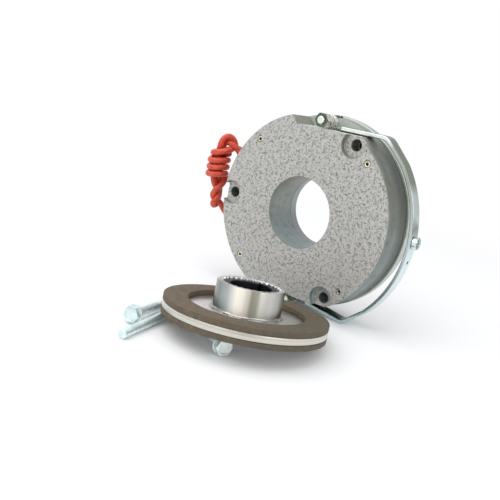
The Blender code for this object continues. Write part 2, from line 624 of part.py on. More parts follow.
def teeth(root, tip, count=TEETH):
    """Toothed outline with straight flanks."""
    outline = []
    for k in range(count):
        for radius, share in ((tip, 0.10), (tip, 0.40), (root, 0.60), (root, 0.90)):
            angle = 2 * math.pi * (k + share) / count
            outline.append((radius * math.cos(angle), radius * math.sin(angle)))
    return outline


def rotor():
    """Aluminium carrier with a toothed collar, a lining bonded to each side, and the splined hub."""
    half = CARRIER_THICKNESS / 2
    top = half + COLLAR_HEIGHT
    c = CHAMFER
    solid = TOOTH_TIP - TOOTH_CUT_WALL
    profile = [(solid, -half), (ROTOR_RADIUS - c, -half), (ROTOR_RADIUS, -half + c), (ROTOR_RADIUS, half - c),
               (ROTOR_RADIUS - c, half), (COLLAR_RADIUS + COLLAR_FOOT, half), (COLLAR_RADIUS, half + COLLAR_FOOT),
               (COLLAR_RADIUS, top - c), (COLLAR_RADIUS - c, top), (solid, top)]
    carrier = turned("rotor_carrier", [(r, z) for r, z in profile], ALUMINIUM, rotor_frame, 72, "Z")
    cut(carrier, prism("cut_rotor_teeth", teeth(TOOTH_ROOT, TOOTH_TIP), -half - OVERCUT, top + OVERCUT,
                       None, rotor_frame, along="Z"))
    for side, word in ((1, "upper"), (-1, "lower")):
        near, far = side * (half + GAP), side * (half + LINING_THICKNESS)
        turned(f"lining_{word}", [(LINING_INNER, near), (ROTOR_RADIUS, near), (ROTOR_RADIUS, far), (LINING_INNER, far)],
               LINING, rotor_frame, 72, "Z")
    key = KEY_WIDTH / 2
    meet = math.asin(key / HUB_BORE_RADIUS)
    bore = [(HUB_BORE_RADIUS * math.cos(a), HUB_BORE_RADIUS * math.sin(a))
            for a in np.linspace(math.pi / 2 + meet, 2.5 * math.pi - meet, 33)]
    bore += [(key, HUB_BORE_RADIUS + KEY_DEPTH), (-key, HUB_BORE_RADIUS + KEY_DEPTH)]
    prism("splined_hub", teeth(TOOTH_ROOT - GAP, TOOTH_TIP - GAP), -half, top - HUB_SINK, DARK_STEEL, rotor_frame,
          along="Z", holes=[bore])


def heading_vector(degrees):
    """Level direction at an angle from +X."""
    return Vector((math.cos(math.radians(degrees)), math.sin(math.radians(degrees)), 0))


def beside_rotor(beyond_rim, direction):
    """Point on the floor at a distance from the rotor's rim."""
    return Vector((*ROTOR_CENTRE, 0)) + heading_vector(direction) * (ROTOR_RADIUS + beyond_rim)


def lay_rotor():
    """Lays the rotor with its far edge on the floor and its near side on the washer of a loose screw."""
    raised = heading_vector(ROTOR_RAISED_TOWARDS)
    *place_at, heading = SCREW_PLACES[0]
    to_washer = BOLT_HEAD_HEIGHT + GAP + WASHER_THICKNESS / 2
    rest = beside_rotor(*place_at) + heading_vector(heading) * to_washer
    reach = (rest - Vector((*ROTOR_CENTRE, 0))).dot(raised) + ROTOR_RADIUS
    tilt = math.asin((2 * WASHER_RADIUS + GAP) / reach)
    normal = Vector((0, 0, 1)) * math.cos(tilt) - raised * math.sin(tilt)
    rotor_frame.location = (Vector((*ROTOR_CENTRE, ROTOR_RADIUS * math.sin(tilt) + FLOOR_GAP))
                            + normal * ROTOR_THICKNESS / 2)
    rotor_frame.rotation_euler = Matrix.Rotation(-tilt, 3, Vector((0, 0, 1)).cross(raised)).to_euler()


def loose_screws():
    """Hexagon head screws lying on the floor, each on the rim of its washer and on its tip."""
    r, tall, c = SCREW_RADIUS, BOLT_HEAD_HEIGHT, CHAMFER
    washer = WASHER_RADIUS
    lean = math.asin((washer - r) / (SCREW_LENGTH - GAP - WASHER_THICKNESS / 2))
    end = tall + SCREW_LENGTH
    rise = (tall + GAP + WASHER_THICKNESS / 2) * math.sin(lean) + washer * math.cos(lean) + FLOOR_GAP
    for number, (*place_at, heading) in enumerate(SCREW_PLACES):
        screw = turned(f"fixing_screw_{number + 1}", [(0, tall / 2), (r, tall / 2), (r, end - c), (r - c, end), (0, end)],
                       ZINC, assembly, 20)
        head = prism(f"join_screw_head_{number + 1}", circle(HEX_RADIUS, 6), 0, tall, None, assembly)
        ring = turned(f"fixing_washer_{number + 1}",
                      [(r + GAP, tall + GAP), (washer, tall + GAP), (washer, tall + GAP + WASHER_THICKNESS),
                       (r + GAP, tall + GAP + WASHER_THICKNESS)], ZINC, assembly, 28)
        for piece in (screw, head, ring):
            piece.location = beside_rotor(*place_at) + Vector((0, 0, rise))
            piece.rotation_euler = (-lean, 0, math.radians(heading - 90))
        cut(screw, head, "UNION")


def loose_lever():
    """Rod that screws into the bail's boss, lying on the floor."""
    r, thread, c = LEVER_RADIUS, LEVER_THREAD_RADIUS, SLEEVE_CHAMFER
    neck = LEVER_LENGTH - LEVER_THREAD_LENGTH
    profile = [(0, 0), (r - c, 0), (r, c), (r, neck), (thread, neck), (thread, LEVER_LENGTH), (0, LEVER_LENGTH)]
    rod = turned("release_lever_rod", profile, ZINC, assembly, 20)
    *place_at, heading = LEVER_PLACE
    rod.location = beside_rotor(*place_at) + Vector((0, 0, r + FLOOR_GAP))
    rod.rotation_euler = (0, 0, math.radians(heading - 90))


def centre_on_origin():
    """Moves the whole brake so that the origin lies under the middle of its box, leads apart."""
    bpy.context.view_layer.update()
    graph = bpy.context.evaluated_depsgraph_get()
    corners = []
    for piece in bpy.context.scene.objects:
        if piece.type != "MESH" or piece.hide_render or piece.name.startswith("lead_hank"):
            continue
        shown = piece.evaluated_get(graph)
        corners += [shown.matrix_world @ v.co for v in shown.data.vertices]
    low = [min(p[k] for p in corners) for k in range(3)]
    high = [max(p[k] for p in corners) for k in range(3)]
    assembly.location = (-(low[0] + high[0]) / 2, -(low[1] + high[1]) / 2, -low[2])


magnet_housing()
coil()
thrust_springs()
armature_plate()
guide_sleeves()
set_screws()
pull_bolts()
boss_y, boss_x = release_bail()
lever_boss(boss_y, boss_x)
leads()
rotor()
lay_rotor()
loose_screws()
loose_lever()
centre_on_origin()
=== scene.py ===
"""Looks of a spring applied brake that stands on edge, with its rotor, screws and release lever laid in
front."""

import bmesh
import bpy
import numpy as np
from mathutils import Matrix


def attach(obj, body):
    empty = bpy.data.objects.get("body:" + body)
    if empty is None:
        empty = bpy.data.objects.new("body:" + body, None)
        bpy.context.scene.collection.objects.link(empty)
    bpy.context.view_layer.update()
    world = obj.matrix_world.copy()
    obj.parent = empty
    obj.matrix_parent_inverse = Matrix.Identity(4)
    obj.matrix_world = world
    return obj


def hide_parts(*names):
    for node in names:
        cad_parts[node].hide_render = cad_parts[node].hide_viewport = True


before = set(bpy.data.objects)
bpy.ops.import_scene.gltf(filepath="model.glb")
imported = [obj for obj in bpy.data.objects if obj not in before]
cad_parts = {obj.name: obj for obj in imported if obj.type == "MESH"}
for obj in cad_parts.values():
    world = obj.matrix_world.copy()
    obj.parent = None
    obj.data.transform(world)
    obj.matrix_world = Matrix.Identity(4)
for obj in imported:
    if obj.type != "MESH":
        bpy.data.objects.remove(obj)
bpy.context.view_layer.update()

# The camera stands in front of the brake, to its right and a little above it, and is held at a slight slant.
# Its place and its three directions are in metres in the part's own frame.
CAMERA_PLACE = (0.308100, -0.446911, 0.2052)
CAMERA_RIGHT = (0.7741, 0.6085, 0.1745)
CAMERA_UP = (-0.2882, 0.0934, 0.9530)
CAMERA_BACK = (0.5636, -0.7880, 0.2476)
LENS = 45.1

lens = bpy.data.cameras.new("camera")
lens.lens, lens.sensor_width, lens.clip_start = LENS, 36, 0.01
camera = bpy.data.objects.new("camera", lens)
bpy.context.scene.collection.objects.link(camera)
camera.matrix_world = Matrix.Translation(CAMERA_PLACE) @ Matrix(
    np.column_stack([CAMERA_RIGHT, CAMERA_UP, CAMERA_BACK]).tolist()).to_quaternion().to_matrix().to_4x4()
bpy.context.scene.camera = camera

# Two leads of the coil, stranded copper in thick red silicone, come out of a rubber bush in the magnet's rim.
# Each goes over to a hank that hangs beside the magnet: one makes its neck, the other its three wraps.
# Their tails are twisted round each other below the wraps, and end bare.
MAGNET = np.array((-0.0095, 0.065089, 0.097))
LEAD_DIAMETER = 0.0066
LEAD_EXIT_ANGLE = np.radians(168.5)
LEAD_EXIT_RADIUS = 0.0983
HANK = MAGNET + (-0.1190, 0.0150, 0)
HANK_RIGHT, HANK_AWAY = np.array((0.81337, 0.58175, 0)), np.array((-0.58175, 0.81337, 0))
HANK_MIDDLE = -0.0020
WRAP_RADIUS = 0.0095
WRAP_PITCH = 0.0074
WRAP_SLOPE = 0.30


class Tone:
    """A number that changes over a surface. Sums and products of tones add the Math nodes that work them
    out."""

    def __init__(self, finish, socket):
        self.finish, self.socket = finish, socket

    def maths(self, operation, *values):
        return self.finish.node("ShaderNodeMath", {"operation": operation}, dict(enumerate(values)))

    def __add__(self, other):
        return self.maths("ADD", self, other)

    def __mul__(self, other):
        return self.maths("MULTIPLY", self, other)

    def __sub__(self, other):
        return self.maths("SUBTRACT", self, other)

    def __rsub__(self, other):
        return self.maths("SUBTRACT", other, self)

    def __truediv__(self, other):
        return self.maths("DIVIDE", self, other)

    def __pow__(self, other):
        return self.maths("POWER", self, other)

    __radd__, __rmul__ = __add__, __mul__


class Finish:
    """A material: its shader with the values that are the same all over, and one method for every other
    node."""

    def __init__(self, name, **plain):
        self.material = bpy.data.materials.new(name)
        self.material.use_nodes = True
        self.tree = self.material.node_tree
        self.shader = self.tree.nodes["Principled BSDF"]
        self.feed(**plain)

    def join(self, socket, value):
        if isinstance(value, Tone):
            self.tree.links.new(value.socket, socket)
        else:
            socket.default_value = (*value, 1) if socket.type == "RGBA" and len(value) == 3 else value

    def feed(self, **sockets):
        """Values or tones for the shader's sockets, by their names in small letters."""
        for name, value in sockets.items():
            self.join(self.shader.inputs[name.replace("_", " ").title().replace("Ior", "IOR")], value)

    def node(self, kind, settings=None, sockets=None, out=0):
        """A node of any type, its settings first, then the values or links of its sockets."""
        made = self.tree.nodes.new(kind)
        for name, value in (settings or {}).items():
            if name == "stops":
                while len(made.color_ramp.elements) < len(value):
                    made.color_ramp.elements.new(0.5)
                for stop, (position, shade) in zip(made.color_ramp.elements, value):
                    stop.position, stop.color = position, (*shade, 1)
            else:
                setattr(made, name, value)
        for name, value in (sockets or {}).items():
            self.join(made.inputs[name], value)
        return Tone(self, made.outputs[out])

    def spot(self, centre=(0, 0, 0), stretch=(1, 1, 1)):
        """Object coordinates measured from a centre and stretched along each direction."""
        where = self.node("ShaderNodeTexCoord", out="Object")
        moved = self.node("ShaderNodeVectorMath", {"operation": "SUBTRACT"}, {0: where, 1: tuple(centre)})
        return self.node("ShaderNodeVectorMath", {"operation": "MULTIPLY"}, {0: moved, 1: stretch})

    def part(self, vector, axis):
        """One of the three numbers of a vector."""
        return self.node("ShaderNodeSeparateXYZ", None, {0: vector}, out=axis)

    def grain(self, vector, scale, detail=2.0, roughness=0.5):
        """Noise from 0 to 1 with features of about 1 / scale metres."""
        return self.node("ShaderNodeTexNoise", None, {"Vector": vector, "Scale": scale, "Detail": detail,
                                                      "Roughness": roughness})

    def rings(self, length, scale, detail=2.0):
        """Noise that changes along one length only, such as a turned part's tool marks."""
        return self.node("ShaderNodeTexNoise", {"noise_dimensions": "1D"}, {"W": length, "Scale": scale,
                                                                            "Detail": detail})

    def ease(self, value, low, high, first=0.0, last=1.0):
        """Smooth step from one value to another, between two limits."""
        return self.node("ShaderNodeMapRange", {"interpolation_type": "SMOOTHSTEP"},
                         {"Value": value, "From Min": low, "From Max": high, "To Min": first, "To Max": last})

    def blend(self, share, first, second):
        """Mix of two colours."""
        return self.node("ShaderNodeMix", {"data_type": "RGBA"}, {0: share, 6: first, 7: second}, out=2)

    def relief(self, height, depth, under=None):
        """Normal of a surface whose height goes from 0 to the depth in metres."""
        sockets = {"Height": height, "Distance": depth, "Strength": 1.0}
        if under:
            sockets["Normal"] = under
        return self.node("ShaderNodeBump", None, sockets)


def silicone_finish():
    """Matt silicone, a little dusty and paler where it has been handled."""
    made = Finish("red_silicone", base_color=(0.66, 0.08, 0.04), roughness=0.36, metallic=0.0)
    dust = made.ease(made.grain(made.spot(), 260, 3), 0.42, 0.72)
    fine = made.grain(made.spot(), 2600, 2)
    made.feed(base_color=made.blend(dust * 0.45, (0.62, 0.062, 0.030), (0.78, 0.17, 0.10)),
              roughness=0.28 + fine * 0.2, normal=made.relief(fine, 0.00005))
    return made.material


def smooth_line(points, spacing):
    """Even points on a Catmull-Rom curve: a cubic through each pair, with slopes of half its neighbours'
    chord."""
    padded = np.vstack([2 * points[0] - points[1], points, 2 * points[-1] - points[-2]])
    before, first, last, after = (padded[k:len(padded) - 3 + k, None] for k in range(4))
    t = np.linspace(0, 1, 24, endpoint=False)[None, :, None]
    fine = 0.5 * (2 * first + (last - before) * t + (2 * before - 5 * first + 4 * last - after) * t ** 2
                  + (3 * first - before - 3 * last + after) * t ** 3)
    fine = np.vstack([fine.reshape(-1, 3), points[-1:]])
    travelled = np.concatenate([[0], np.cumsum(np.linalg.norm(np.diff(fine, axis=0), axis=1))])
    marks = np.linspace(0, travelled[-1], int(travelled[-1] / spacing) + 1)
    return np.stack([np.interp(marks, travelled, fine[:, k]) for k in range(3)], axis=1), travelled[-1]


def in_hank(points):
    """Points given in millimetres to the hank's right, away from the camera, and up from the magnet's
    axis."""
    right, away, up = np.asarray(points, float).T[:, :, None] / 1000
    return HANK + right * HANK_RIGHT + away * HANK_AWAY + up * np.array((0, 0, 1))


def wrap(first_turn, last_turn, height, radius, pitch, middle=HANK_MIDDLE):
    """Helix round the hank from its front at turn 0: right is sin, away is minus cos, and it drops by
    pitch x turn."""
    turn = np.linspace(first_turn, last_turn, int(abs(last_turn - first_turn) * 16) + 1) * 2 * np.pi
    right, away = middle + radius * np.sin(turn), -radius * np.cos(turn)
    up = height - pitch * turn / (2 * np.pi) + WRAP_SLOPE * (right - middle)
    return in_hank(np.stack([right, away, up], axis=1) * 1000)


def lead(name, route):
    """Round silicone tube along one smooth open line."""
    line, length = smooth_line(route, 0.0011)
    curve = bpy.data.curves.new(name, "CURVE")
    curve.dimensions, curve.bevel_depth, curve.bevel_resolution = "3D", LEAD_DIAMETER / 2, 4
    curve.use_fill_caps = True
    spline = curve.splines.new("POLY")
    spline.points.add(len(line) - 1)
    spline.points.foreach_set("co", np.column_stack([line, np.ones(len(line))]).ravel())
    spline.use_smooth = True
    curve.materials.append(silicone)
    piece = bpy.data.objects.new(name, curve)
    bpy.context.scene.collection.objects.link(piece)
    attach(piece, "magnet")
    return piece


silicone = silicone_finish()
outward = np.array((np.cos(LEAD_EXIT_ANGLE), 0, np.sin(LEAD_EXIT_ANGLE)))
neck_exit = MAGNET + outward * LEAD_EXIT_RADIUS + (0, 0.0270, 0)
wrap_exit = MAGNET + outward * LEAD_EXIT_RADIUS + (0, 0.0200, 0)
neck_lead = lead("neck_lead", np.vstack([
    [neck_exit, neck_exit + outward * 0.003, MAGNET + (-0.1014, 0.0285, 0.0270),
     MAGNET + (-0.1012, 0.0310, 0.0345),
     MAGNET + (-0.1055, 0.0318, 0.0402)],
    in_hank([(14.2, 6.6, 42.6), (12.3, 4.6, 45.8), (11.0, 2.6, 49.2), (8.4, 0.8, 52.2), (4.3, -0.6, 53.6),
             (0.2, -2.2, 51.6), (-2.2, -3.4, 47.2), (-3.0, -3.2, 42.2), (-3.6, -0.6, 38.8), (-1.6, 4.0, 37.4),
             (1.4, 7.0, 37.2)]),
    wrap(0.36, -0.36, 0.0373, 0.0094, -0.0015, -0.00015),
    in_hank([(-5.5, 4.6, 33.4), (-4.7, 2.4, 30), (-4.7, 0, 22), (-4.9, 0, 14), (-5.4, 0, 8), (-2.9, 1.2, 0.1),
             (0.8, 3.0, -4.5), (3.4, 1.0, -9.9), (1.7, -2.8, -16.0), (-0.8, -2.6, -20.0), (0.0, 1.2, -23.2),
             (2.4, 6.4, -22.0), (3.2, 9.2, -16), (3.2, 9.0, -7), (1.6, 6.6, 2), (0.2, 3.6, 10),
             (0.0, 2.2, 20),
             (0.4, 2.4, 30)])]))
wrap_lead = lead("wrap_lead", np.vstack([
    [wrap_exit, wrap_exit + outward * 0.003, MAGNET + (-0.1010, 0.0212, 0.0270),
     MAGNET + (-0.1000, 0.0236, 0.0350)],
    in_hank([(17.4, -1.0, 40.2), (13.4, -1.4, 43.2), (9.4, -0.6, 46.0), (5.6, 0.8, 47.2), (1.8, 2.8, 46.2),
             (-0.2, 3.8, 42.6), (1.2, 3.4, 38.8), (4.6, 2.4, 36.6)]),
    wrap(-0.73, 2.32, 0.0273, WRAP_RADIUS, WRAP_PITCH),
    in_hank([(7.2, 2.6, 8.0), (6.6, -0.4, 4.6), (4.4, -2.2, 0.6), (0.5, -3.0, -3.8), (-2.6, -1.0, -10.6),
             (-1.4, 2.2, -15.4), (2.6, 3.4, -18.4), (6.6, 4.2, -20.4), (10.2, 7.0, -26), (14.0, 10.0, -31),
             (17.5, 13.0, -36), (20.0, 15.0, -42)])]))
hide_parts("lead_1")
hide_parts("lead_2", "lead_hank")

# The magnet's housing is a turned steel pot with a bore. Its front is sprayed with grey hammer paint, and
# its rim is left smooth. Seats and holes for three fixing screws, holes for four set screws, eight spring
# pockets and the two flats for the hand release are cut into it.
MAGNET_RADIUS = 0.095
MAGNET_LENGTH = 0.0387
BORE_RADIUS = 0.0348
POCKET_INNER, POCKET_OUTER, POCKET_FLOOR = 0.043, 0.065, 0.011
FIXING_CIRCLE = 0.086
FIXING_ANGLES = np.radians((60, 180, 300))
FIXING_HOLE, FIXING_SEAT, SEAT_DEPTH, SEAT_FILLET = 0.0053, 0.0120, 0.0065, 0.0020
SLEEVE_SEAT, SLEEVE_START = 0.0078, 0.0202
SET_SCREW_ANGLES = np.radians((45, 135, 225, 315))
SET_SCREW_BORE, SET_SCREW_DEPTH = 0.0032, 0.0083
SPRING_CIRCLE, SPRING_POCKET, SPRING_FLOOR = 0.0742, 0.0056, 0.017
FLAT_HEIGHT, FLAT_LENGTH, FLAT_END = 0.0830, 0.0313, -0.0205
NOTCH_RADIUS, NOTCH_HEIGHT = 0.0046, 0.0905
RIM_ROUND, CUT_REACH = 0.0009, MAGNET_RADIUS + 0.0095
VENT_ANGLE, VENT_PLACE, VENT_RADIUS, VENT_DEPTH = np.radians(237), 0.0168, 0.0009, 0.004


def rounded(corners, radii, steps=4):
    """Closed outline with each corner replaced by the arc of its radius that touches both of its sides."""
    corners = np.asarray(corners, float)
    radii = np.broadcast_to(np.asarray(radii, float), len(corners))
    before, after = np.roll(corners, 1, axis=0) - corners, np.roll(corners, -1, axis=0) - corners
    before /= np.linalg.norm(before, axis=1, keepdims=True)
    after /= np.linalg.norm(after, axis=1, keepdims=True)
    half = np.arccos(np.clip((before * after).sum(axis=1), -1, 1)) / 2
    middle = before + after
    middle /= np.maximum(np.linalg.norm(middle, axis=1, keepdims=True), 1e-9)
    centres = corners + middle * (radii / np.sin(half))[:, None]
    reach = (radii / np.tan(half))[:, None]
    first, last = corners + before * reach - centres, corners + after * reach - centres
    t = np.linspace(0, 1, steps + 1)[None, :, None]
    arcs = first[:, None] * (1 - t) + last[:, None] * t
    arcs *= radii[:, None, None] / np.maximum(np.linalg.norm(arcs, axis=2, keepdims=True), 1e-12)
    return (centres[:, None] + arcs).reshape(-1, 2)


def facing(x=0.0, z=0.0):
    """Place beside the magnet's axis: a point in its painted face, and the directions right, up and into
    it."""
    return MAGNET + (x, 0, z), np.array((1.0, 0, 0)), np.array((0, 0, 1.0)), np.array((0, 1.0, 0))


def laid(place, right, up, along):
    """Points at the given distances along the three directions of a place."""
    origin, *directions = place
    return origin + sum(np.asarray(d)[..., None] * e for d, e in zip((right, up, along), directions))


def finish_mesh(piece, material, sharp):
    """Smooth shading with sharp edges above an angle, and one material."""
    piece.data.shade_smooth()
    piece.data.set_sharp_from_angle(angle=np.radians(sharp))
    piece.data.materials.clear()
    piece.data.materials.append(material)
    return piece


def skin(name, points, material=None, rows_close=False, caps=False, sharp=32):
    """Mesh over a grid of points whose columns close on themselves: each cell of the grid is a face."""
    rows, columns = points.shape[:2]
    index = np.arange(rows * columns).reshape(rows, columns)
    index = np.hstack([index, index[:, :1]])
    if rows_close:
        index = np.vstack([index, index[:1]])
    corners = [index[:-1, :-1], index[:-1, 1:], index[1:, 1:], index[1:, :-1]]
    faces = np.stack(corners, axis=-1).reshape(-1, 4).tolist()
    if caps:
        faces += [index[0, :-1][::-1].tolist(), index[-1, :-1].tolist()]
    mesh = bpy.data.meshes.new(name)
    mesh.from_pydata(points.reshape(-1, 3), [], faces)
    bm = bmesh.new()
    bm.from_mesh(mesh)
    bmesh.ops.remove_doubles(bm, verts=bm.verts, dist=1e-6)
    bmesh.ops.recalc_face_normals(bm, faces=bm.faces)
    bm.to_mesh(mesh)
    bm.free()
    piece = bpy.data.objects.new(name, mesh)
    bpy.context.scene.collection.objects.link(piece)
    return finish_mesh(piece, material, sharp)


def turned(name, profile, place, material=None, steps=96, sharp=32):
    """Profile of radius and position turned round a place's axis: right is r cos, up is r sin, along is
    position."""
    profile = np.asarray(profile, float)
    angle = np.linspace(0, 2 * np.pi, steps, endpoint=False)
    radius, along = profile[:, :1], np.broadcast_to(profile[:, 1:], (len(profile), steps))
    solid_axis = profile[0, 0] == 0 and profile[-1, 0] == 0
    return skin(name, laid(place, radius * np.cos(angle), radius * np.sin(angle), along), material,
                rows_close=not solid_axis, sharp=sharp)


def stacked(name, outlines, depths, place, material=None, sharp=32):
    """Outlines of equal count, one at each depth along a place's axis, with flat ends."""
    outlines = np.asarray(outlines, float)
    along = np.broadcast_to(np.asarray(depths, float)[:, None], outlines.shape[:2])
    return skin(name, laid(place, outlines[..., 0], outlines[..., 1], along), material, caps=True,
                sharp=sharp)


def carve(target, tools, how="DIFFERENCE", sharp=32):
    """Cuts solids out of a piece, or joins them to it, and keeps only the outcome."""
    for tool in tools:
        change = target.modifiers.new("carve", "BOOLEAN")
        change.operation, change.solver, change.object = how, "MANIFOLD", tool
    bpy.context.view_layer.update()
    made = bpy.data.meshes.new_from_object(target.evaluated_get(bpy.context.evaluated_depsgraph_get()))
    material = target.data.materials[0]
    target.modifiers.clear()
    target.data = made
    if "material_index" in made.attributes:
        made.attributes.remove(made.attributes["material_index"])
    for tool in tools:
        bpy.data.objects.remove(tool, do_unlink=True)
    return finish_mesh(target, material, sharp)


def fixing_tool(angle):
    """Seat with a broken mouth and a filleted floor, screw hole and sleeve bore on one axis."""
    c, far = 0.0005, MAGNET_LENGTH + 0.002
    profile = rounded([(0, -0.002), (FIXING_SEAT + c, -0.002), (FIXING_SEAT + c, 0), (FIXING_SEAT, c),
                       (FIXING_SEAT, SEAT_DEPTH), (FIXING_HOLE + c, SEAT_DEPTH),
                       (FIXING_HOLE, SEAT_DEPTH + c),
                       (FIXING_HOLE, SLEEVE_START), (SLEEVE_SEAT, SLEEVE_START), (SLEEVE_SEAT, far),
                       (0, far)],
                      (0, 0, 0, 0, SEAT_FILLET, 0, 0, 0, 0, 0, 0), 6)
    return turned("seat", profile, facing(FIXING_CIRCLE * np.cos(angle), FIXING_CIRCLE * np.sin(angle)),
                  steps=72)


def set_screw_tool(angle):
    """Threaded hole of a set screw, its mouth broken."""
    profile = [(0, -0.002), (SET_SCREW_BORE + 0.0004, -0.002), (SET_SCREW_BORE + 0.0004, 0),
               (SET_SCREW_BORE, 0.0004),
               (SET_SCREW_BORE, SET_SCREW_DEPTH), (0, SET_SCREW_DEPTH)]
    return turned("set", profile, facing(FIXING_CIRCLE * np.cos(angle), FIXING_CIRCLE * np.sin(angle)),
                  steps=32)


def spring_tool(number):
    """Blind pocket of a thrust spring."""
    angle = 2 * np.pi * (number + 0.5) / 8
    profile = [(0, SPRING_FLOOR), (SPRING_POCKET, SPRING_FLOOR), (SPRING_POCKET, MAGNET_LENGTH + 0.002),
               (0, MAGNET_LENGTH + 0.002)]
    return turned("pocket", profile, facing(SPRING_CIRCLE * np.cos(angle), SPRING_CIRCLE * np.sin(angle)),
                  steps=32)


def flat_tool(side):
    """Milled flat with its slanted end wall, opened a little wider at the painted face so that the edge is
    broken."""
    c = 0.0005
    plain = np.array([(FLAT_END, FLAT_HEIGHT), (CUT_REACH, FLAT_HEIGHT), (CUT_REACH, CUT_REACH),
                      (FLAT_END - CUT_REACH + FLAT_HEIGHT, CUT_REACH)])
    wide = plain + np.array([(-c * 0.4, -c), (0, -c), (0, 0), (-c, 0)])
    return stacked("flat", [o * (1, side) for o in (wide, wide, plain, plain)], (-0.002, 0, c, FLAT_LENGTH),
                   facing())


def notch_outline(side):
    """Slot of a pull bolt, with a round floor and open away from the axis."""
    angle = np.linspace(np.pi, 2 * np.pi, 25)
    floor = np.stack([NOTCH_RADIUS * np.cos(angle), NOTCH_HEIGHT + NOTCH_RADIUS * np.sin(angle)], axis=1)
    return np.vstack([floor, [(NOTCH_RADIUS, CUT_REACH), (-NOTCH_RADIUS, CUT_REACH)]]) * (1, side)


def hammer_paint():
    """Hammer paint on the front: pale, with short dark lines that wander and break off. The rim is smooth
    and greyer, with a painted reflection, olive low down and blue grey higher up, and painted shade over its
    back part on the right."""
    made = Finish("hammer_paint", base_color=(0.42, 0.41, 0.39), roughness=0.45, metallic=0.25)
    spot = made.spot(MAGNET)
    warp = made.node("ShaderNodeTexNoise", None, {"Vector": spot, "Scale": 330, "Detail": 2}, out="Color")
    bent = made.node("ShaderNodeVectorMath", {"operation": "MULTIPLY_ADD"},
                     {0: warp, 1: (0.0030,) * 3, 2: spot})
    ridge = made.node("ShaderNodeMath", {"operation": "ABSOLUTE"}, {0: made.grain(bent, 430, 1.2, 0.5) - 0.5})
    broken = made.ease(made.grain(spot, 300, 2), 0.36, 0.60)
    line = (1 - made.ease(ridge, 0.0, 0.085)) * broken
    speck = made.grain(spot, 1500, 2)
    cloud = made.grain(spot, 45, 3)
    normal = made.node("ShaderNodeTexCoord", out="Normal")
    inward, height = made.part(spot, 1), made.part(spot, 2)
    front = (made.ease(made.part(normal, 1), -0.97, -0.8, 1.0, 0.0)
             * made.ease(inward, 0.0075, 0.0085, 1.0, 0.0))
    island = made.blend(made.ease(speck, 0.35, 0.7), (0.45, 0.445, 0.42), (0.62, 0.61, 0.58))
    painted = made.blend(line * 0.9, island, (0.135, 0.135, 0.125))
    # painted reflection on the smooth rim: olive towards the bottom, blue grey towards the top
    rim_reflection_by_height = made.ease(height, -0.06, 0.04, 1.0, 0.0)
    rim = made.blend(rim_reflection_by_height, (0.275, 0.285, 0.240), (0.315, 0.385, 0.400))
    rim = made.blend(made.ease(cloud, 0.35, 0.75) * 0.5, rim, (0.40, 0.42, 0.39))
    rim = made.blend(made.ease(made.grain(spot, 170, 4, 0.6), 0.45, 0.7) * 0.5, rim, (0.18, 0.19, 0.165))
    # painted shade over the back part of the rim on the right, beside the bail
    painted_rim_shade = made.ease(inward, 0.014, 0.031) * made.ease(made.part(spot, 0), 0.050, 0.075)
    rim = made.blend(painted_rim_shade * 0.8, rim, (0.10, 0.115, 0.10))
    wall = made.ease(made.part(normal, 1), -0.97, -0.8, 1.0, 0.0) * made.ease(inward, 0.0085, 0.0095)
    rim = made.blend(wall, rim, (0.55, 0.60, 0.55))
    reach_up = made.node("ShaderNodeMath", {"operation": "ABSOLUTE"}, {0: height})
    milled = (made.ease(made.node("ShaderNodeMath", {"operation": "ABSOLUTE"}, {0: made.part(normal, 2)}),
                        0.97, 0.99)
              * made.ease(reach_up, 0.080, 0.082) * made.ease(reach_up, 0.084, 0.086, 1.0, 0.0))
    bare = made.blend(milled, rim, (0.70, 0.74, 0.68))
    made.feed(base_color=made.blend(front, bare, painted), roughness=0.40 + speck * 0.12,
              metallic=made.ease(front, 0, 1, 0.65, 0.2),
              normal=made.relief(front * (1 - line) + (1 - front) * made.grain(spot, 900, 2) * 0.10, 0.00032))
    return made.material


paint = hammer_paint()
housing = turned("housing", rounded(
    [(BORE_RADIUS, 0), (MAGNET_RADIUS, 0), (MAGNET_RADIUS, MAGNET_LENGTH), (POCKET_OUTER, MAGNET_LENGTH),
     (POCKET_OUTER, POCKET_FLOOR), (POCKET_INNER, POCKET_FLOOR), (POCKET_INNER, MAGNET_LENGTH),
     (BORE_RADIUS, MAGNET_LENGTH)], (0.0007, RIM_ROUND, 0.0006, 0.0003, 0, 0, 0.0003, 0.0005)), facing(),
                 paint, steps=288)
behind = MAGNET_LENGTH + 0.002
carve(housing, [fixing_tool(a) for a in FIXING_ANGLES] + [set_screw_tool(a) for a in SET_SCREW_ANGLES]
      + [spring_tool(k) for k in range(8)] + [flat_tool(side) for side in (1, -1)]
      + [stacked("notch", [notch_outline(side)] * 2, (FLAT_LENGTH - 0.002, behind),
                 facing()) for side in (1, -1)])
mouth, _, _, into = facing(BORE_RADIUS * np.cos(VENT_ANGLE), BORE_RADIUS * np.sin(VENT_ANGLE))
from_axis = np.array((np.cos(VENT_ANGLE), 0, np.sin(VENT_ANGLE)))
round_axis = np.array((-np.sin(VENT_ANGLE), 0, np.cos(VENT_ANGLE)))
carve(housing,
      [turned("vent", [(0, -0.002), (VENT_RADIUS, -0.002), (VENT_RADIUS, VENT_DEPTH), (0, VENT_DEPTH)],
                       (mouth + into * VENT_PLACE, round_axis, into, from_axis), steps=20)])
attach(housing, "magnet")
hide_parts("magnet_housing")

# The armature plate is a ground steel disc behind the magnet, which the coil pulls forward by the air gap.
# Three holes run on the guide sleeves and two open notches let the pull bolts through.
PLATE_FRONT, PLATE_BACK = 0.0391, 0.0495
PLATE_RADIUS, PLATE_BORE, GUIDE_HOLE = 0.097, 0.0349, 0.0081


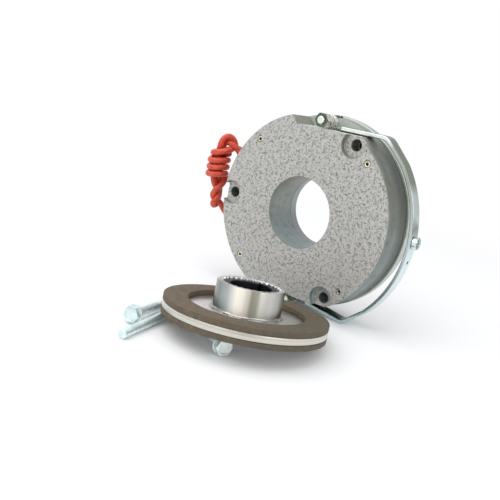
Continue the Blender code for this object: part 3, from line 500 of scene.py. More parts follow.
def plate_finish():
    """Machined steel: fine concentric tool marks, with cloudy stains, and a darker bore."""
    made = Finish("machined_steel", base_color=(0.56, 0.60, 0.55), roughness=0.36, metallic=1.0)
    spot = made.spot(MAGNET)
    x, y, z = (made.part(spot, axis) for axis in range(3))
    radius = (x * x + z * z) ** 0.5
    mark = made.rings(radius + y * 1.7, 2600)
    stain = made.grain(spot, 60, 3)
    stained = made.blend(made.ease(stain, 0.45, 0.75) * 0.6, (0.56, 0.60, 0.55), (0.4032, 0.432, 0.396))
    made.feed(base_color=made.blend(made.ease(radius, 0.0353, 0.0360), (0.31, 0.335, 0.34), stained),
              roughness=0.31 + mark * 0.1 + stain * 0.08, normal=made.relief(mark, 0.00002))
    return made.material


plate_steel = plate_finish()
plate_section = rounded([(PLATE_BORE, PLATE_FRONT), (PLATE_RADIUS, PLATE_FRONT), (PLATE_RADIUS, PLATE_BACK),
                         (PLATE_BORE, PLATE_BACK)], (0.0005, 0.0006, 0.0006, 0.0005))
plate = turned("plate", plate_section, facing(), plate_steel, steps=288)
guide = [(0, PLATE_FRONT - 0.002), (GUIDE_HOLE, PLATE_FRONT - 0.002), (GUIDE_HOLE, PLATE_BACK + 0.002),
         (0, PLATE_BACK + 0.002)]
carve(plate, [turned("guide", guide, facing(FIXING_CIRCLE * np.cos(a), FIXING_CIRCLE * np.sin(a)), steps=48)
              for a in FIXING_ANGLES]
      + [stacked("notch", [notch_outline(side)] * 2, (PLATE_FRONT - 0.002, PLATE_BACK + 0.002), facing())
         for side in (1, -1)])
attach(plate, "armature")
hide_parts("armature_plate")

# Guide sleeves are hollow zinc plated screws between magnet and motor flange, with a broken edge at each end.
# Small set screws with a hexagon socket, yellow zinc plated, close four holes in the painted face.
SLEEVE_RADIUS, SLEEVE_BORE, SLEEVE_END = 0.0075, 0.0044, 0.0649
SET_SCREW_RADIUS, SET_SCREW_SINK, SET_SCREW_LENGTH, SET_SCREW_KEY = 0.0030, 0.0002, 0.0075, 0.0030


def plated(name, bright, dull, rough=0.24, tint=None, metallic=1.0):
    """Plated steel: bright with cloudy patches, fine scratches and duller spots from handling."""
    made = Finish(name, base_color=bright, roughness=rough, metallic=metallic)
    spot = made.spot()
    cloud = made.grain(spot, 95, 3)
    scratch = made.grain(made.spot((0, 0, 0), (1, 1, 9)), 420, 3, 0.7)
    shade = made.blend(made.ease(cloud, 0.38, 0.72), bright, dull)
    if tint:
        shade = made.blend(made.ease(made.grain(made.spot((1, 1, 1)), 38, 2), 0.45, 0.7) * 0.5, shade, tint)
    made.feed(base_color=shade, roughness=rough - 0.06 + cloud * 0.12 + scratch * 0.08,
              normal=made.relief(scratch, 0.00003))
    return made.material


def hexagon(angle, across):
    """Radius of a hexagon at an angle, its corners at 0, 60 and so on: half across the flats over cos of
    the rest."""
    return across / 2 / np.cos(np.mod(angle, np.pi / 3) - np.pi / 6)


def ringed(name, radii, along, place, material, sharp=32):
    """Grid whose rows are rings of a radius that may change with the angle, each at its position along the
    axis."""
    columns = max(np.size(r) for r in radii)
    angle = np.linspace(0, 2 * np.pi, columns, endpoint=False)
    radius = np.stack([np.broadcast_to(r, columns) for r in radii])
    depth = np.stack([np.broadcast_to(a, columns) for a in along])
    closes = not (np.max(radii[0]) == 0 and np.max(radii[-1]) == 0)
    return skin(name, laid(place, radius * np.cos(angle), radius * np.sin(angle), depth), material,
                rows_close=closes, sharp=sharp)


def bush_finish():
    """Zinc plate at the free end of a sleeve; along the part that sits in the housing, brown blotched darker,
    a painted warm reflection for what shows in its bore through the fixing hole."""
    made = Finish("sleeve_steel", base_color=(0.70, 0.74, 0.73), roughness=0.28, metallic=1.0)
    spot = made.spot(MAGNET)
    # painted warm reflection, brown blotched darker, for the sleeve's bore seen through the fixing hole
    stain = made.blend(made.ease(made.grain(spot, 300, 3), 0.4, 0.7), (0.40, 0.28, 0.16), (0.13, 0.09, 0.06))
    made.feed(base_color=made.blend(made.ease(made.part(spot, 1), 0.034, 0.040), stain, (0.70, 0.74, 0.73)),
              roughness=0.22 + made.grain(spot, 700, 2) * 0.2)
    return made.material


def socket_finish():
    """Yellow zinc plate, with painted shade at the bottom of the key socket."""
    made = Finish("yellow_zinc", base_color=(0.86, 0.80, 0.55), roughness=0.22, metallic=1.0)
    spot = made.spot(MAGNET)
    gold = made.blend(made.ease(made.grain(spot, 500, 2), 0.4, 0.65), (0.96, 0.93, 0.78), (0.74, 0.66, 0.42))
    # painted shade, near black, deep in the key socket
    made.feed(base_color=made.blend(made.ease(made.part(spot, 1), 0.0013, 0.0026), gold,
                                    (0.03, 0.024, 0.015)),
              roughness=0.16 + made.grain(spot, 900, 2) * 0.2)
    return made.material


zinc = plated("bright_zinc", (0.80, 0.93, 0.95), (0.60, 0.72, 0.73), 0.24, (0.84, 0.86, 0.78), 0.6)
bush_steel, yellow = bush_finish(), socket_finish()
sleeve_profile = rounded([(SLEEVE_BORE, 0.0205), (SLEEVE_RADIUS, 0.0205), (SLEEVE_RADIUS, SLEEVE_END),
                          (SLEEVE_BORE, SLEEVE_END)], (0.0005, 0.0007, 0.0007, 0.0004), 2)
turn = np.linspace(0, 2 * np.pi, 48, endpoint=False)
for number, angle in enumerate(FIXING_ANGLES):
    sleeve = turned(f"sleeve_{number + 1}", sleeve_profile,
                    facing(FIXING_CIRCLE * np.cos(angle), FIXING_CIRCLE * np.sin(angle)), bush_steel, 56)
    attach(sleeve, "magnet")
    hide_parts(f"guide_sleeve_{number + 1}")
for number, angle in enumerate(SET_SCREW_ANGLES):
    key = hexagon(turn, SET_SCREW_KEY)
    radii = (0, SET_SCREW_RADIUS, SET_SCREW_RADIUS, SET_SCREW_RADIUS - 0.0004, key + 0.0002, key, key, 0)
    along = np.array((SET_SCREW_LENGTH, SET_SCREW_LENGTH, 0.0004, 0, 0, 0.0002, 0.0022,
                      0.0030)) + SET_SCREW_SINK
    screw = ringed(f"socket_screw_{number + 1}", radii, along,
                   facing(FIXING_CIRCLE * np.cos(angle), FIXING_CIRCLE * np.sin(angle)), yellow)
    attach(screw, "magnet")
    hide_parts(f"set_screw_{number + 1}")

# A rubber bush closes the slot in the rim where the leads come out. The coil, its nylon bobbin and the
# potting ring sit in the housing's pocket behind the plate, and the thrust springs in theirs; they keep
# their shape.
rubber = Finish("rubber", base_color=(0.025, 0.025, 0.025), roughness=0.7, metallic=0.0)
rubber.feed(roughness=0.6 + rubber.grain(rubber.spot(), 900, 2) * 0.25,
            base_color=rubber.blend(rubber.grain(rubber.spot(), 300, 2), (0.015, 0.015, 0.015),
                                    (0.045, 0.045, 0.045)))
copper = Finish("enamelled_copper", base_color=(0.50, 0.21, 0.09), roughness=0.35, metallic=1.0)
copper.feed(base_color=copper.blend(copper.rings(copper.part(copper.spot(), 1), 1900), (0.34, 0.12, 0.05),
                                    (0.60, 0.27, 0.12)))
nylon = Finish("nylon", base_color=(0.80, 0.78, 0.70), roughness=0.5, metallic=0.0)
nylon.feed(roughness=0.42 + nylon.grain(nylon.spot(), 600, 2) * 0.15,
           base_color=nylon.blend(nylon.grain(nylon.spot(), 70, 2), (0.76, 0.74, 0.65), (0.83, 0.81, 0.74)))
resin = Finish("potting_resin", base_color=(0.04, 0.04, 0.04), roughness=0.4, metallic=0.0)
resin.feed(roughness=0.3 + resin.grain(resin.spot(), 120, 3) * 0.3,
           base_color=resin.blend(resin.grain(resin.spot(), 90, 3), (0.02, 0.02, 0.02), (0.06, 0.06, 0.06)))
spring_steel = plated("spring_steel", (0.42, 0.43, 0.42), (0.30, 0.31, 0.30), 0.30)
inside = {"lead_grommet": rubber.material, "coil_bobbin": nylon.material, "coil_winding": copper.material,
          "coil_seal_ring": resin.material, **{f"thrust_spring_{k}": spring_steel for k in range(1, 9)}}
for node, material in inside.items():
    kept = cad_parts[node]
    for kept_slot in kept.material_slots:
        kept_slot.material = material

# Two pull bolts hook the armature plate: hexagon head behind the plate, shank through its notch and the
# bail's ear, thread and self locking nut in front. A light coil spring between nut and ear holds the bail
# back.
BOLT_HEIGHT, BOLT_RADIUS, BOLT_TIP = 0.0905, 0.004, 0.006
NUT_FRONT, NUT_LENGTH, ACROSS_FLATS = 0.0083, 0.0080, 0.013
BOLT_HEAD = (0.0498, 0.0551)
THREAD_PITCH, THREAD_DEPTH = 0.00125, 0.0006
RELEASE_WIRE, RELEASE_RADIUS, RELEASE_TURNS, RELEASE_END = 0.0009, 0.0054, 4.5, 0.0271


def head_rows(low, high, across, low_cut=True, high_cut=True):
    """Rows of a hexagon prism whose corners are cut by a 30 degree cone at one end or both."""
    angle = np.linspace(0, 2 * np.pi, 72, endpoint=False)
    side, flat = hexagon(angle, across), across / 2 * 0.97
    drop = np.maximum(side - flat, 0) * 0.577
    rows = [(flat, low), (side, low + drop)] if low_cut else [(side, low)]
    return rows + ([(side, high - drop), (flat, high)] if high_cut else [(side, high)])


def thread_rows(start, end, radius, pitch=THREAD_PITCH, depth=THREAD_DEPTH):
    """Rows of a thread: the radius falls by the depth along a triangle wave that turns once round in each
    pitch."""
    angle = np.linspace(0, 1, 72, endpoint=False)
    along = np.linspace(start, end, int(abs(end - start) / pitch * 7) + 2)
    wave = np.abs(2 * np.mod(along[:, None] / pitch - angle, 1) - 1)
    fade = np.clip(np.minimum(abs(along - start), abs(end - along)) / pitch, 0, 1)[:, None]
    return [(radius - depth * (0.5 + 0.5 * wave[k] if fade[k] > 0.99 else 1 - fade[k] * 0.5), along[k])
            for k in range(len(along))]


def coiled_wire(name, place, mean, wire, turns, start, end, material):
    """Wire of a spring: a circle carried along a helix whose pitch closes at both ends."""
    s, a = np.meshgrid(np.linspace(0, 1, int(turns * 36)), np.linspace(0, 2 * np.pi, 12, endpoint=False),
                       indexing="ij")
    angle = 2 * np.pi * turns * s
    rise = np.clip((s * turns - 0.7) / (turns - 1.4), 0, 1)
    rise = rise * rise * (3 - 2 * rise) * 0.35 + rise * 0.65
    radius = mean + wire * np.cos(a)
    along = start + wire + (end - start - 2 * wire) * rise + wire * np.sin(a)
    return skin(name, laid(place, radius * np.cos(angle), radius * np.sin(angle), along), material,
                caps=True, sharp=60)


def nut_finish():
    """Steel of bolt and nut, pale on its flats, with painted shade, dark and greenish, on the faces that look
    forward, and a painted highlight where the bolt ends."""
    made = Finish("bolt_steel", base_color=(0.56, 0.56, 0.50), roughness=0.34, metallic=1.0)
    spot = made.spot(MAGNET)
    # painted shade, dark and greenish, on faces that look forward
    painted_front_shade = made.ease(made.part(made.node("ShaderNodeTexCoord", out="Normal"), 1), -0.9, -0.6, 1.0, 0.0)
    # painted highlight on the end of the bolt
    tip = made.ease(made.part(spot, 1), BOLT_TIP + 0.0010, BOLT_TIP + 0.0018, 1.0, 0.0)
    cloud = made.ease(made.grain(spot, 240, 3), 0.4, 0.7)
    body = made.blend(cloud, (0.82, 0.79, 0.67), (0.56, 0.55, 0.47))
    body = made.blend(painted_front_shade, body, (0.11, 0.15, 0.135))
    made.feed(base_color=made.blend(tip, body, (0.93, 0.93, 0.88)), roughness=0.26 + cloud * 0.14,
              normal=made.relief(made.grain(spot, 1800, 2), 0.00002))
    return made.material


bolt_steel = nut_finish()
bright_spring = plated("spring_zinc", (0.93, 0.93, 0.90), (0.66, 0.66, 0.61), 0.22, metallic=0.7)
for side, word in ((1, "top"), (-1, "low")):
    place = facing(0, side * BOLT_HEIGHT)
    rows = [(0, BOLT_TIP), (BOLT_RADIUS - 0.0010, BOLT_TIP), (BOLT_RADIUS - 0.0004, BOLT_TIP + 0.0006)]
    rows += thread_rows(BOLT_TIP + 0.0007, 0.026, BOLT_RADIUS) + [(BOLT_RADIUS, 0.0265),
                                                                  (BOLT_RADIUS, BOLT_HEAD[0])]
    rows += head_rows(*BOLT_HEAD, ACROSS_FLATS, low_cut=False) + [(0, BOLT_HEAD[1])]
    bolt = ringed(f"hook_bolt_{word}", *zip(*rows), place, bolt_steel)
    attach(bolt, "armature")
    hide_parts(f"pull_bolt_{word}")
    rows = head_rows(NUT_FRONT, NUT_FRONT + NUT_LENGTH, ACROSS_FLATS)
    rows += [(BOLT_RADIUS + 0.0006, NUT_FRONT + NUT_LENGTH),
             (BOLT_RADIUS + 0.0001, NUT_FRONT + NUT_LENGTH - 0.0005),
             (BOLT_RADIUS + 0.0001, NUT_FRONT + 0.0005), (BOLT_RADIUS + 0.0006, NUT_FRONT)]
    nut = ringed(f"nut_{word}", *zip(*rows), place, bolt_steel)
    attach(nut, "armature")
    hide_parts(f"release_nut_{word}")
    wire = coiled_wire(f"ear_spring_{word}", place, RELEASE_RADIUS, RELEASE_WIRE / 2, RELEASE_TURNS,
                       NUT_FRONT + NUT_LENGTH + 0.0003, RELEASE_END, bright_spring)
    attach(wire, "magnet")
    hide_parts(f"release_spring_{word}")

# The release bail is one strip of zinc plated sheet, bent round the magnet, with an upturned ear at each end.
# Its edges are rounded by the blanking and plating. A bush for the lever is riveted to its middle.
STRIP_THICKNESS, STRIP_BACK, STRIP_FRONT, EAR_FRONT = 0.0036, 0.0310, 0.0170, 0.0274
ARM_HEIGHT, ARM_START, NARROW_END, FULL_START = 0.0864, -0.0105, 0.008, 0.019
ARC_CENTRE, ARC_RADIUS = np.array((-0.003, -0.0032)), 0.1126
TOP_BEND, LOW_BEND, BEND_RADIUS = (0.06598, 0.0858), (0.06077, -0.0960), 0.011
EAR_CROWN, EAR_HALF, EAR_HOLE = 0.0062, 0.0105, 0.0049
LOCK_HOLE, LOCK_DROP, NECK_HOLE = 0.0017, 0.0193, 0.0051


def bent_corner(before, corner, after, radius, steps=10):
    """Arc between two straight runs that touches both."""
    outline = rounded([before, corner, after], (0, radius, 0), steps)
    return outline[steps + 1:2 * steps + 2]


def strip_line():
    """Middle line of the strip in the magnet's plane: arm, bend, big arc, bend and arm, at even spacing."""
    first, last = (np.arctan2(*(np.array(b) - ARC_CENTRE)[::-1]) for b in (TOP_BEND, LOW_BEND))
    angle = np.linspace(first, last, 121)
    arc = ARC_CENTRE + ARC_RADIUS * np.stack([np.cos(angle), np.sin(angle)], axis=1)
    upper = bent_corner((FULL_START, ARM_HEIGHT), arc[0], arc[15], BEND_RADIUS)
    lower = bent_corner(arc[-16], arc[-1], (FULL_START, -ARM_HEIGHT), BEND_RADIUS)
    line = np.vstack([[(ARM_START, ARM_HEIGHT)], upper, arc[16:-16], lower, [(ARM_START, -ARM_HEIGHT)]])
    travelled = np.concatenate([[0], np.cumsum(np.linalg.norm(np.diff(line, axis=0), axis=1))])
    marks = np.linspace(0, travelled[-1], 361)
    return np.stack([np.interp(marks, travelled, line[:, k]) for k in range(2)], axis=1)


def strip_grid():
    """Rounded rectangle carried along the middle line; its front edge moves back over the narrow ends."""
    line = strip_line()
    along = np.gradient(line, axis=0)
    along /= np.linalg.norm(along, axis=1, keepdims=True)
    out = np.stack([-along[:, 1], along[:, 0]], axis=1)
    narrow = np.clip((line[:, 0] - NARROW_END) / (FULL_START - NARROW_END), 0, 1)
    narrow = narrow * narrow * (3 - 2 * narrow)
    front = EAR_FRONT + (STRIP_FRONT - EAR_FRONT) * narrow
    r, t = 0.0008, STRIP_THICKNESS / 2
    arc = np.linspace(0, np.pi / 2, 6)
    corner = r * np.stack([np.cos(arc), np.sin(arc)], axis=1)
    across = np.concatenate([t - r + corner[:, 0], -t + r - corner[::-1, 0], -t + r - corner[:, 0],
                             t - r + corner[::-1, 0]])
    share = np.repeat((1, 1, 0, 0), len(arc))
    lift = np.concatenate([-r + corner[:, 1], -r + corner[::-1, 1], r - corner[:, 1], r - corner[::-1, 1]])
    width = front[:, None] + (STRIP_BACK - front[:, None]) * share + lift
    x = line[:, :1] + out[:, :1] * across
    z = line[:, 1:] + out[:, 1:] * across
    return laid(facing(), x, z, width)


def strip_finish():
    """Zinc plate on rolled sheet with painted reflection: olive over the upper part of the big bend, pale
    blue below; a painted highlight along the upper edge, and painted shade on its inside."""
    made = Finish("strip_zinc", base_color=(0.70, 0.75, 0.74), roughness=0.26, metallic=1.0)
    spot = made.spot(MAGNET)
    normal = made.node("ShaderNodeTexCoord", out="Normal")
    from_centre = made.node("ShaderNodeVectorMath", {"operation": "MULTIPLY"},
                            {0: made.spot(MAGNET + (ARC_CENTRE[0], 0, ARC_CENTRE[1])), 1: (1, 0, 1)})
    outward = made.node("ShaderNodeVectorMath", {"operation": "NORMALIZE"}, {0: from_centre})
    outward = made.node("ShaderNodeVectorMath", {"operation": "DOT_PRODUCT"}, {0: outward, 1: normal},
                        out="Value")
    height = made.part(spot, 2) + (made.grain(spot, 55, 2) - 0.5) * 0.016
    # painted reflection on the outer face, banded by height: pale blue low down, olive and dark higher up
    face = made.node("ShaderNodeValToRGB", {"stops": (
        (0.0, (0.60, 0.70, 0.72)), (0.30, (0.74, 0.86, 0.88)), (0.48, (0.70, 0.80, 0.82)),
                                                      (0.545, (0.30, 0.33, 0.31)),
        (0.575, (0.22, 0.24, 0.21)), (0.61, (0.66, 0.72, 0.70)), (0.70, (0.72, 0.76, 0.72)),
                                                      (0.755, (0.32, 0.33, 0.25)),
        (0.90, (0.28, 0.29, 0.22)), (1.0, (0.40, 0.42, 0.38)))}, {0: height * 5 + 0.5})
    streak = made.grain(made.spot((0, 0, 0), (1, 1, 0.12)), 900, 3, 0.6)
    face = made.blend(made.ease(streak, 0.45, 0.75) * 0.35, face, (0.48, 0.52, 0.48))
    # painted reflection on the strip's edges by height, with a painted highlight along the top arm's edge
    edge = made.node("ShaderNodeValToRGB", {"stops": (
        (0.0, (0.50, 0.62, 0.64)), (0.42, (0.56, 0.68, 0.70)), (0.55, (0.50, 0.58, 0.57)),
                                                      (0.75, (0.36, 0.42, 0.38)),
        (0.89, (0.50, 0.57, 0.53)), (0.925, (0.90, 0.95, 0.93)), (1.0, (0.92, 0.95, 0.93)))},
                     {0: height * 5 + 0.5})
    # painted shade on the inside of the strip, which faces the magnet
    shade = made.blend(made.ease(outward, -0.8, -0.3, 1.0, 0.0),
                       made.blend(made.ease(outward, 0.3, 0.8), edge, face),
                       (0.045, 0.065, 0.062))
    made.feed(base_color=shade, roughness=0.20 + streak * 0.16, normal=made.relief(streak, 0.00003))
    return made.material


bail = skin("bail", strip_grid(), strip_finish(), caps=True, sharp=40)
parts = []
for side in (1, -1):
    swing = np.linspace(np.pi / 2 + 0.12, -np.pi / 2 - 0.12, 25)
    crown = np.stack([EAR_CROWN * np.sin(swing), BOLT_HEIGHT + EAR_CROWN * np.cos(swing)], axis=1)
    ear = np.vstack([[(EAR_HALF - 0.0003, ARM_HEIGHT)], crown, [(-EAR_HALF + 0.0003, ARM_HEIGHT)]])
    middle = ear.mean(axis=0)
    small = middle + (ear - middle) * 0.965
    parts.append(stacked("ear", [o * (1, side) for o in (small, ear, ear, small)],
                         (EAR_FRONT, EAR_FRONT + 0.0003, STRIP_BACK - 0.0003, STRIP_BACK), facing()))
carve(bail, parts, "UNION", 40)
sideways = (MAGNET + (0, (STRIP_FRONT + STRIP_BACK) / 2, 0), np.array((0, 1.0, 0)), np.array((0, 0, 1.0)),
            np.array((1.0, 0, 0)))
arc_x = ARC_CENTRE[0] + ARC_RADIUS
holes = [turned("hole", [(0, 0.020), (EAR_HOLE, 0.020), (EAR_HOLE, 0.035), (0, 0.035)],
                facing(0, side * BOLT_HEIGHT),
                steps=48) for side in (1, -1)]
holes.append(turned("hole",
                    [(0, arc_x - 0.02), (NECK_HOLE, arc_x - 0.02), (NECK_HOLE, arc_x + 0.02),
                     (0, arc_x + 0.02)],
                    sideways, steps=40))
lock = (sideways[0] + (0, 0, -LOCK_DROP), *sideways[1:])
holes.append(turned("hole", [(0, arc_x - 0.02), (LOCK_HOLE, arc_x - 0.02), (LOCK_HOLE, arc_x + 0.02),
                             (0, arc_x + 0.02)], lock, steps=24))
carve(bail, holes, sharp=40)
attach(bail, "release_lever")
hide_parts("release_bail")

BOSS_RADIUS, BOSS_LENGTH, NECK_RADIUS, NECK_LENGTH, BOSS_BORE = 0.0061, 0.0043, 0.0048, 0.0045, 0.0034


def boss_finish():
    """Zinc plate, pale round the outside, with painted shade, dark blue green, on the faced end round the
    thread.
    """
    made = Finish("boss_zinc", base_color=(0.80, 0.88, 0.88), roughness=0.22, metallic=1.0)
    # painted shade on the faced end
    end = made.ease(made.part(made.node("ShaderNodeTexCoord", out="Normal"), 0), 0.6, 0.9)
    cloud = made.ease(made.grain(made.spot(), 320, 3), 0.4, 0.7)
    side = made.blend(cloud, (0.88, 0.95, 0.96), (0.60, 0.70, 0.71))
    made.feed(base_color=made.blend(end, side, (0.26, 0.36, 0.37)), roughness=0.18 + cloud * 0.12)
    return made.material


seat = arc_x + STRIP_THICKNESS / 2 + 0.0003
rows = [(BOSS_BORE, seat - NECK_LENGTH), (NECK_RADIUS, seat - NECK_LENGTH), (NECK_RADIUS, seat),
        (BOSS_RADIUS - 0.0003, seat), (BOSS_RADIUS, seat + 0.0003),
        (BOSS_RADIUS, seat + BOSS_LENGTH - 0.0009),
        (BOSS_RADIUS - 0.0009, seat + BOSS_LENGTH), (BOSS_BORE + 0.0006, seat + BOSS_LENGTH)]
thread = thread_rows(seat + BOSS_LENGTH - 0.0006, seat - NECK_LENGTH + 0.0004, BOSS_BORE, 0.001, 0.0004)
rows += [(r + 0.0003, a) for r, a in thread]
boss = ringed("boss", *zip(*rows), sideways, boss_finish())
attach(boss, "release_lever")
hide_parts("lever_boss")

# The rotor lies on the floor, taken out. Its aluminium carrier is a disc with a turned collar, toothed
# inside, and its foot is staked. A ring of brown pressed fibre is bonded to each face.
ROTOR = (np.array((0.016053, -0.028017, 0.017142)), np.array((0.998305, 0.003385, 0.058099)),
         np.array((0.003385, 0.993241, -0.116021)), np.array((-0.058099, 0.116021, 0.991546)))
ROTOR_RADIUS, LINING_INNER, LINING_THICKNESS, CARRIER_HALF = 0.0725, 0.0515, 0.0048, 0.0029
COLLAR_RADIUS, COLLAR_TOP = 0.0300, 0.0273
TEETH, TOOTH_ROOT, TOOTH_TIP = 30, 0.0262, 0.0248
# Level direction to the camera's right, across which the collar's painted reflection runs
ACROSS_COLLAR = (0.786, 0.618, 0.0)
HUB_BORE, HUB_SINK, KEY_HALF, KEY_DEPTH = 0.0185, 0.0014, 0.005, 0.0033


def teeth(root, tip, columns=720):
    """Radius of a toothed ring at each angle: tip, flank, root and flank of each tooth as a clipped
    triangle wave."""
    from_tip = np.abs(np.mod(np.arange(columns) * TEETH / columns + 0.5, 1) - 0.5)
    return tip + (root - tip) * np.clip(from_tip / 0.2 - 0.9, 0, 1)


def aluminium_finish():
    """Turned aluminium: bright, with tool marks that run round the collar and rings on the disc; painted
    reflection in bright and dark bands across the collar, and painted shade at its staked foot.
    """
    made = Finish("turned_aluminium", base_color=(0.84, 0.82, 0.79), roughness=0.28, metallic=1.0)
    offset = made.spot(ROTOR[0])
    height = made.node("ShaderNodeVectorMath", {"operation": "DOT_PRODUCT"},
                       {0: offset, 1: tuple(ROTOR[3])}, out="Value")
    away = made.node("ShaderNodeVectorMath", {"operation": "LENGTH"}, {0: offset}, out="Value")
    radius = (away * away - height * height) ** 0.5
    mark = made.rings(radius + height * 1.3, 2400)
    stain = made.grain(offset, 85, 3)
    plain = made.blend(made.ease(stain, 0.4, 0.75) * 0.5, (0.86, 0.85, 0.83), (0.66, 0.68, 0.68))
    # painted reflection on the collar: dark at the left, a bright band, then brownish and dark again at the
    # right
    across = made.node("ShaderNodeVectorMath", {"operation": "DOT_PRODUCT"}, {0: offset, 1: ACROSS_COLLAR},
                       out="Value")
    collar_reflection = made.node("ShaderNodeValToRGB", {"stops": (
        (0.00, (0.32, 0.33, 0.32)), (0.07, (0.27, 0.30, 0.27)), (0.14, (0.55, 0.61, 0.62)),
                                                      (0.24, (0.80, 0.82, 0.78)),
        (0.31, (1.00, 0.97, 0.88)), (0.40, (0.98, 0.94, 0.86)), (0.48, (0.86, 0.83, 0.72)),
                                                      (0.52, (0.44, 0.41, 0.34)),
        (0.60, (0.31, 0.33, 0.27)), (0.65, (0.52, 0.50, 0.46)), (0.80, (0.62, 0.60, 0.56)),
                                                      (0.90, (0.44, 0.43, 0.39)),
        (0.95, (0.22, 0.225, 0.19)), (1.00, (0.13, 0.13, 0.10)))}, {0: across / (2 * COLLAR_RADIUS) + 0.5})
    on_collar = made.ease(radius, 0.0292, 0.0297) * made.ease(radius, 0.0304, 0.0308, 1.0, 0.0) * made.ease(
        height, 0.0045, 0.0055)
    on_edge = made.ease(radius, 0.0716, 0.0720)
    rim = made.blend(made.ease(made.rings(height, 1500), 0.4, 0.6) * 0.6, (0.70, 0.68, 0.61),
                     (0.44, 0.43, 0.38))
    # painted shade round the staked foot of the collar
    foot_shade = made.ease(radius, 0.0300, 0.0303) * made.ease(radius, 0.0325, 0.0330, 1.0, 0.0)
    plain = made.blend(foot_shade * 0.75, plain, (0.34, 0.34, 0.31))
    made.feed(base_color=made.blend(on_collar, made.blend(on_edge, plain, rim), collar_reflection),
              roughness=0.20 + mark * 0.12 + stain * 0.1, normal=made.relief(mark, 0.00003))
    return made.material


def lining_finish():
    """Pressed friction fibre: brown, dull, with pale fibres, dark grit and short brass coloured specks."""
    made = Finish("friction_lining", base_color=(0.25, 0.20, 0.14), roughness=0.85, metallic=0.0)
    spot = made.spot(ROTOR[0])
    cloud, grit = made.grain(spot, 220, 4, 0.6), made.grain(spot, 2300, 2)
    speck = made.node("ShaderNodeTexVoronoi", None, {"Vector": spot, "Scale": 900})
    body = made.blend(made.ease(cloud, 0.35, 0.7), (0.120, 0.092, 0.060), (0.165, 0.128, 0.086))
    flecked = made.blend((1 - made.ease(speck, 0.10, 0.22)) * 0.5, body, (0.23, 0.19, 0.13))
    # painted shade, darker towards the rotor's right side
    flecked = made.blend(made.ease(made.part(spot, 0), -0.01, 0.07) * 0.5, flecked, (0.075, 0.070, 0.052))
    made.feed(base_color=made.blend(made.ease(grit, 0.55, 0.75) * 0.5, flecked, (0.055, 0.045, 0.034)),
              roughness=0.78 + grit * 0.15, normal=made.relief(grit + cloud * 0.5, 0.00012))
    return made.material


aluminium, fibre = aluminium_finish(), lining_finish()
angle = np.linspace(0, 2 * np.pi, 720, endpoint=False)
stake = COLLAR_RADIUS + 0.0022 - 0.0014 * (np.mod(angle * 12 / (2 * np.pi), 1) < 0.35)
tooth = teeth(TOOTH_ROOT, TOOTH_TIP)
below, above = (ROTOR_RADIUS, -CARRIER_HALF), (ROTOR_RADIUS, CARRIER_HALF)
rows = [(tooth, -CARRIER_HALF + 0.0003), (tooth + 0.0003, -CARRIER_HALF),
        *bent_corner((COLLAR_RADIUS, -CARRIER_HALF), below, above, 0.0006, 3),
        *bent_corner(below, above, (COLLAR_RADIUS, CARRIER_HALF), 0.0006, 3),
        (COLLAR_RADIUS + 0.0026, CARRIER_HALF), (stake, CARRIER_HALF + 0.0003),
        (stake, CARRIER_HALF + 0.0011),
        (COLLAR_RADIUS + 0.0002, CARRIER_HALF + 0.0016), (COLLAR_RADIUS, CARRIER_HALF + 0.0022),
        (COLLAR_RADIUS, COLLAR_TOP - 0.0007), (COLLAR_RADIUS - 0.0002, COLLAR_TOP - 0.0002),
        (COLLAR_RADIUS - 0.0007, COLLAR_TOP), (tooth + 0.0003, COLLAR_TOP), (tooth, COLLAR_TOP - 0.0003)]
carrier = ringed("carrier", *zip(*rows), ROTOR, aluminium)
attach(carrier, "magnet")
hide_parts("rotor_carrier")
for side, word in ((1, "upper"), (-1, "lower")):
    near, distant = side * (CARRIER_HALF + 0.0003), side * (CARRIER_HALF + LINING_THICKNESS)
    ring = rounded([(LINING_INNER, near), (ROTOR_RADIUS, near), (ROTOR_RADIUS, distant),
                    (LINING_INNER, distant)],
                   (0.0001, 0.0001, 0.0004, 0.0005), 3)
    lining = turned(f"fibre_ring_{word}", ring, ROTOR, fibre, 240)
    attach(lining, "magnet")
    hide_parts(f"lining_{word}")

# The hub is black finished steel, toothed outside to slide in the collar, with a keyway for the motor's
# shaft.
oxide = Finish("dark_steel", base_color=(0.03, 0.032, 0.035), roughness=0.38, metallic=0.9)
oxide.feed(base_color=oxide.blend(oxide.grain(oxide.spot(), 130, 3), (0.020, 0.022, 0.026),
                                  (0.055, 0.058, 0.060)),
           roughness=0.30 + oxide.grain(oxide.spot(), 700, 2) * 0.2)
outside = teeth(TOOTH_ROOT - 0.0003, TOOTH_TIP - 0.0003)
in_key = np.abs(HUB_BORE * np.cos(angle)) < KEY_HALF
bore = np.where(in_key & (np.sin(angle) > 0), (HUB_BORE + KEY_DEPTH) / np.maximum(np.sin(angle), 0.2),
                HUB_BORE)
low, high = -CARRIER_HALF, COLLAR_TOP - HUB_SINK
rows = [(bore, low), (outside - 0.0004, low), (outside, low + 0.0004), (outside, high - 0.0004),
        (outside - 0.0004, high), (bore + 0.0006, high), (bore, high - 0.0006)]
hub = ringed("hub", *zip(*rows), ROTOR, oxide.material)
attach(hub, "magnet")
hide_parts("splined_hub")

# Two fixing screws with their washers lie loose on the floor, bright zinc plated, hexagon head and half
# thread. The rotor leans on one washer. Each screw rests on the rim of its washer and on its tip.
SCREW_RADIUS, SCREW_LENGTH, HEAD_HEIGHT = 0.004, 0.070, 0.0053
SCREW_PLACES = ((0.0500, -0.1470, 155.0), (-0.0356, -0.1690, 103.5))
WASHER_RADIUS, WASHER_THICKNESS, THREAD_START = 0.008, 0.0016, 0.040
FLOOR_SHIFT = MAGNET * (1, 1, 0)


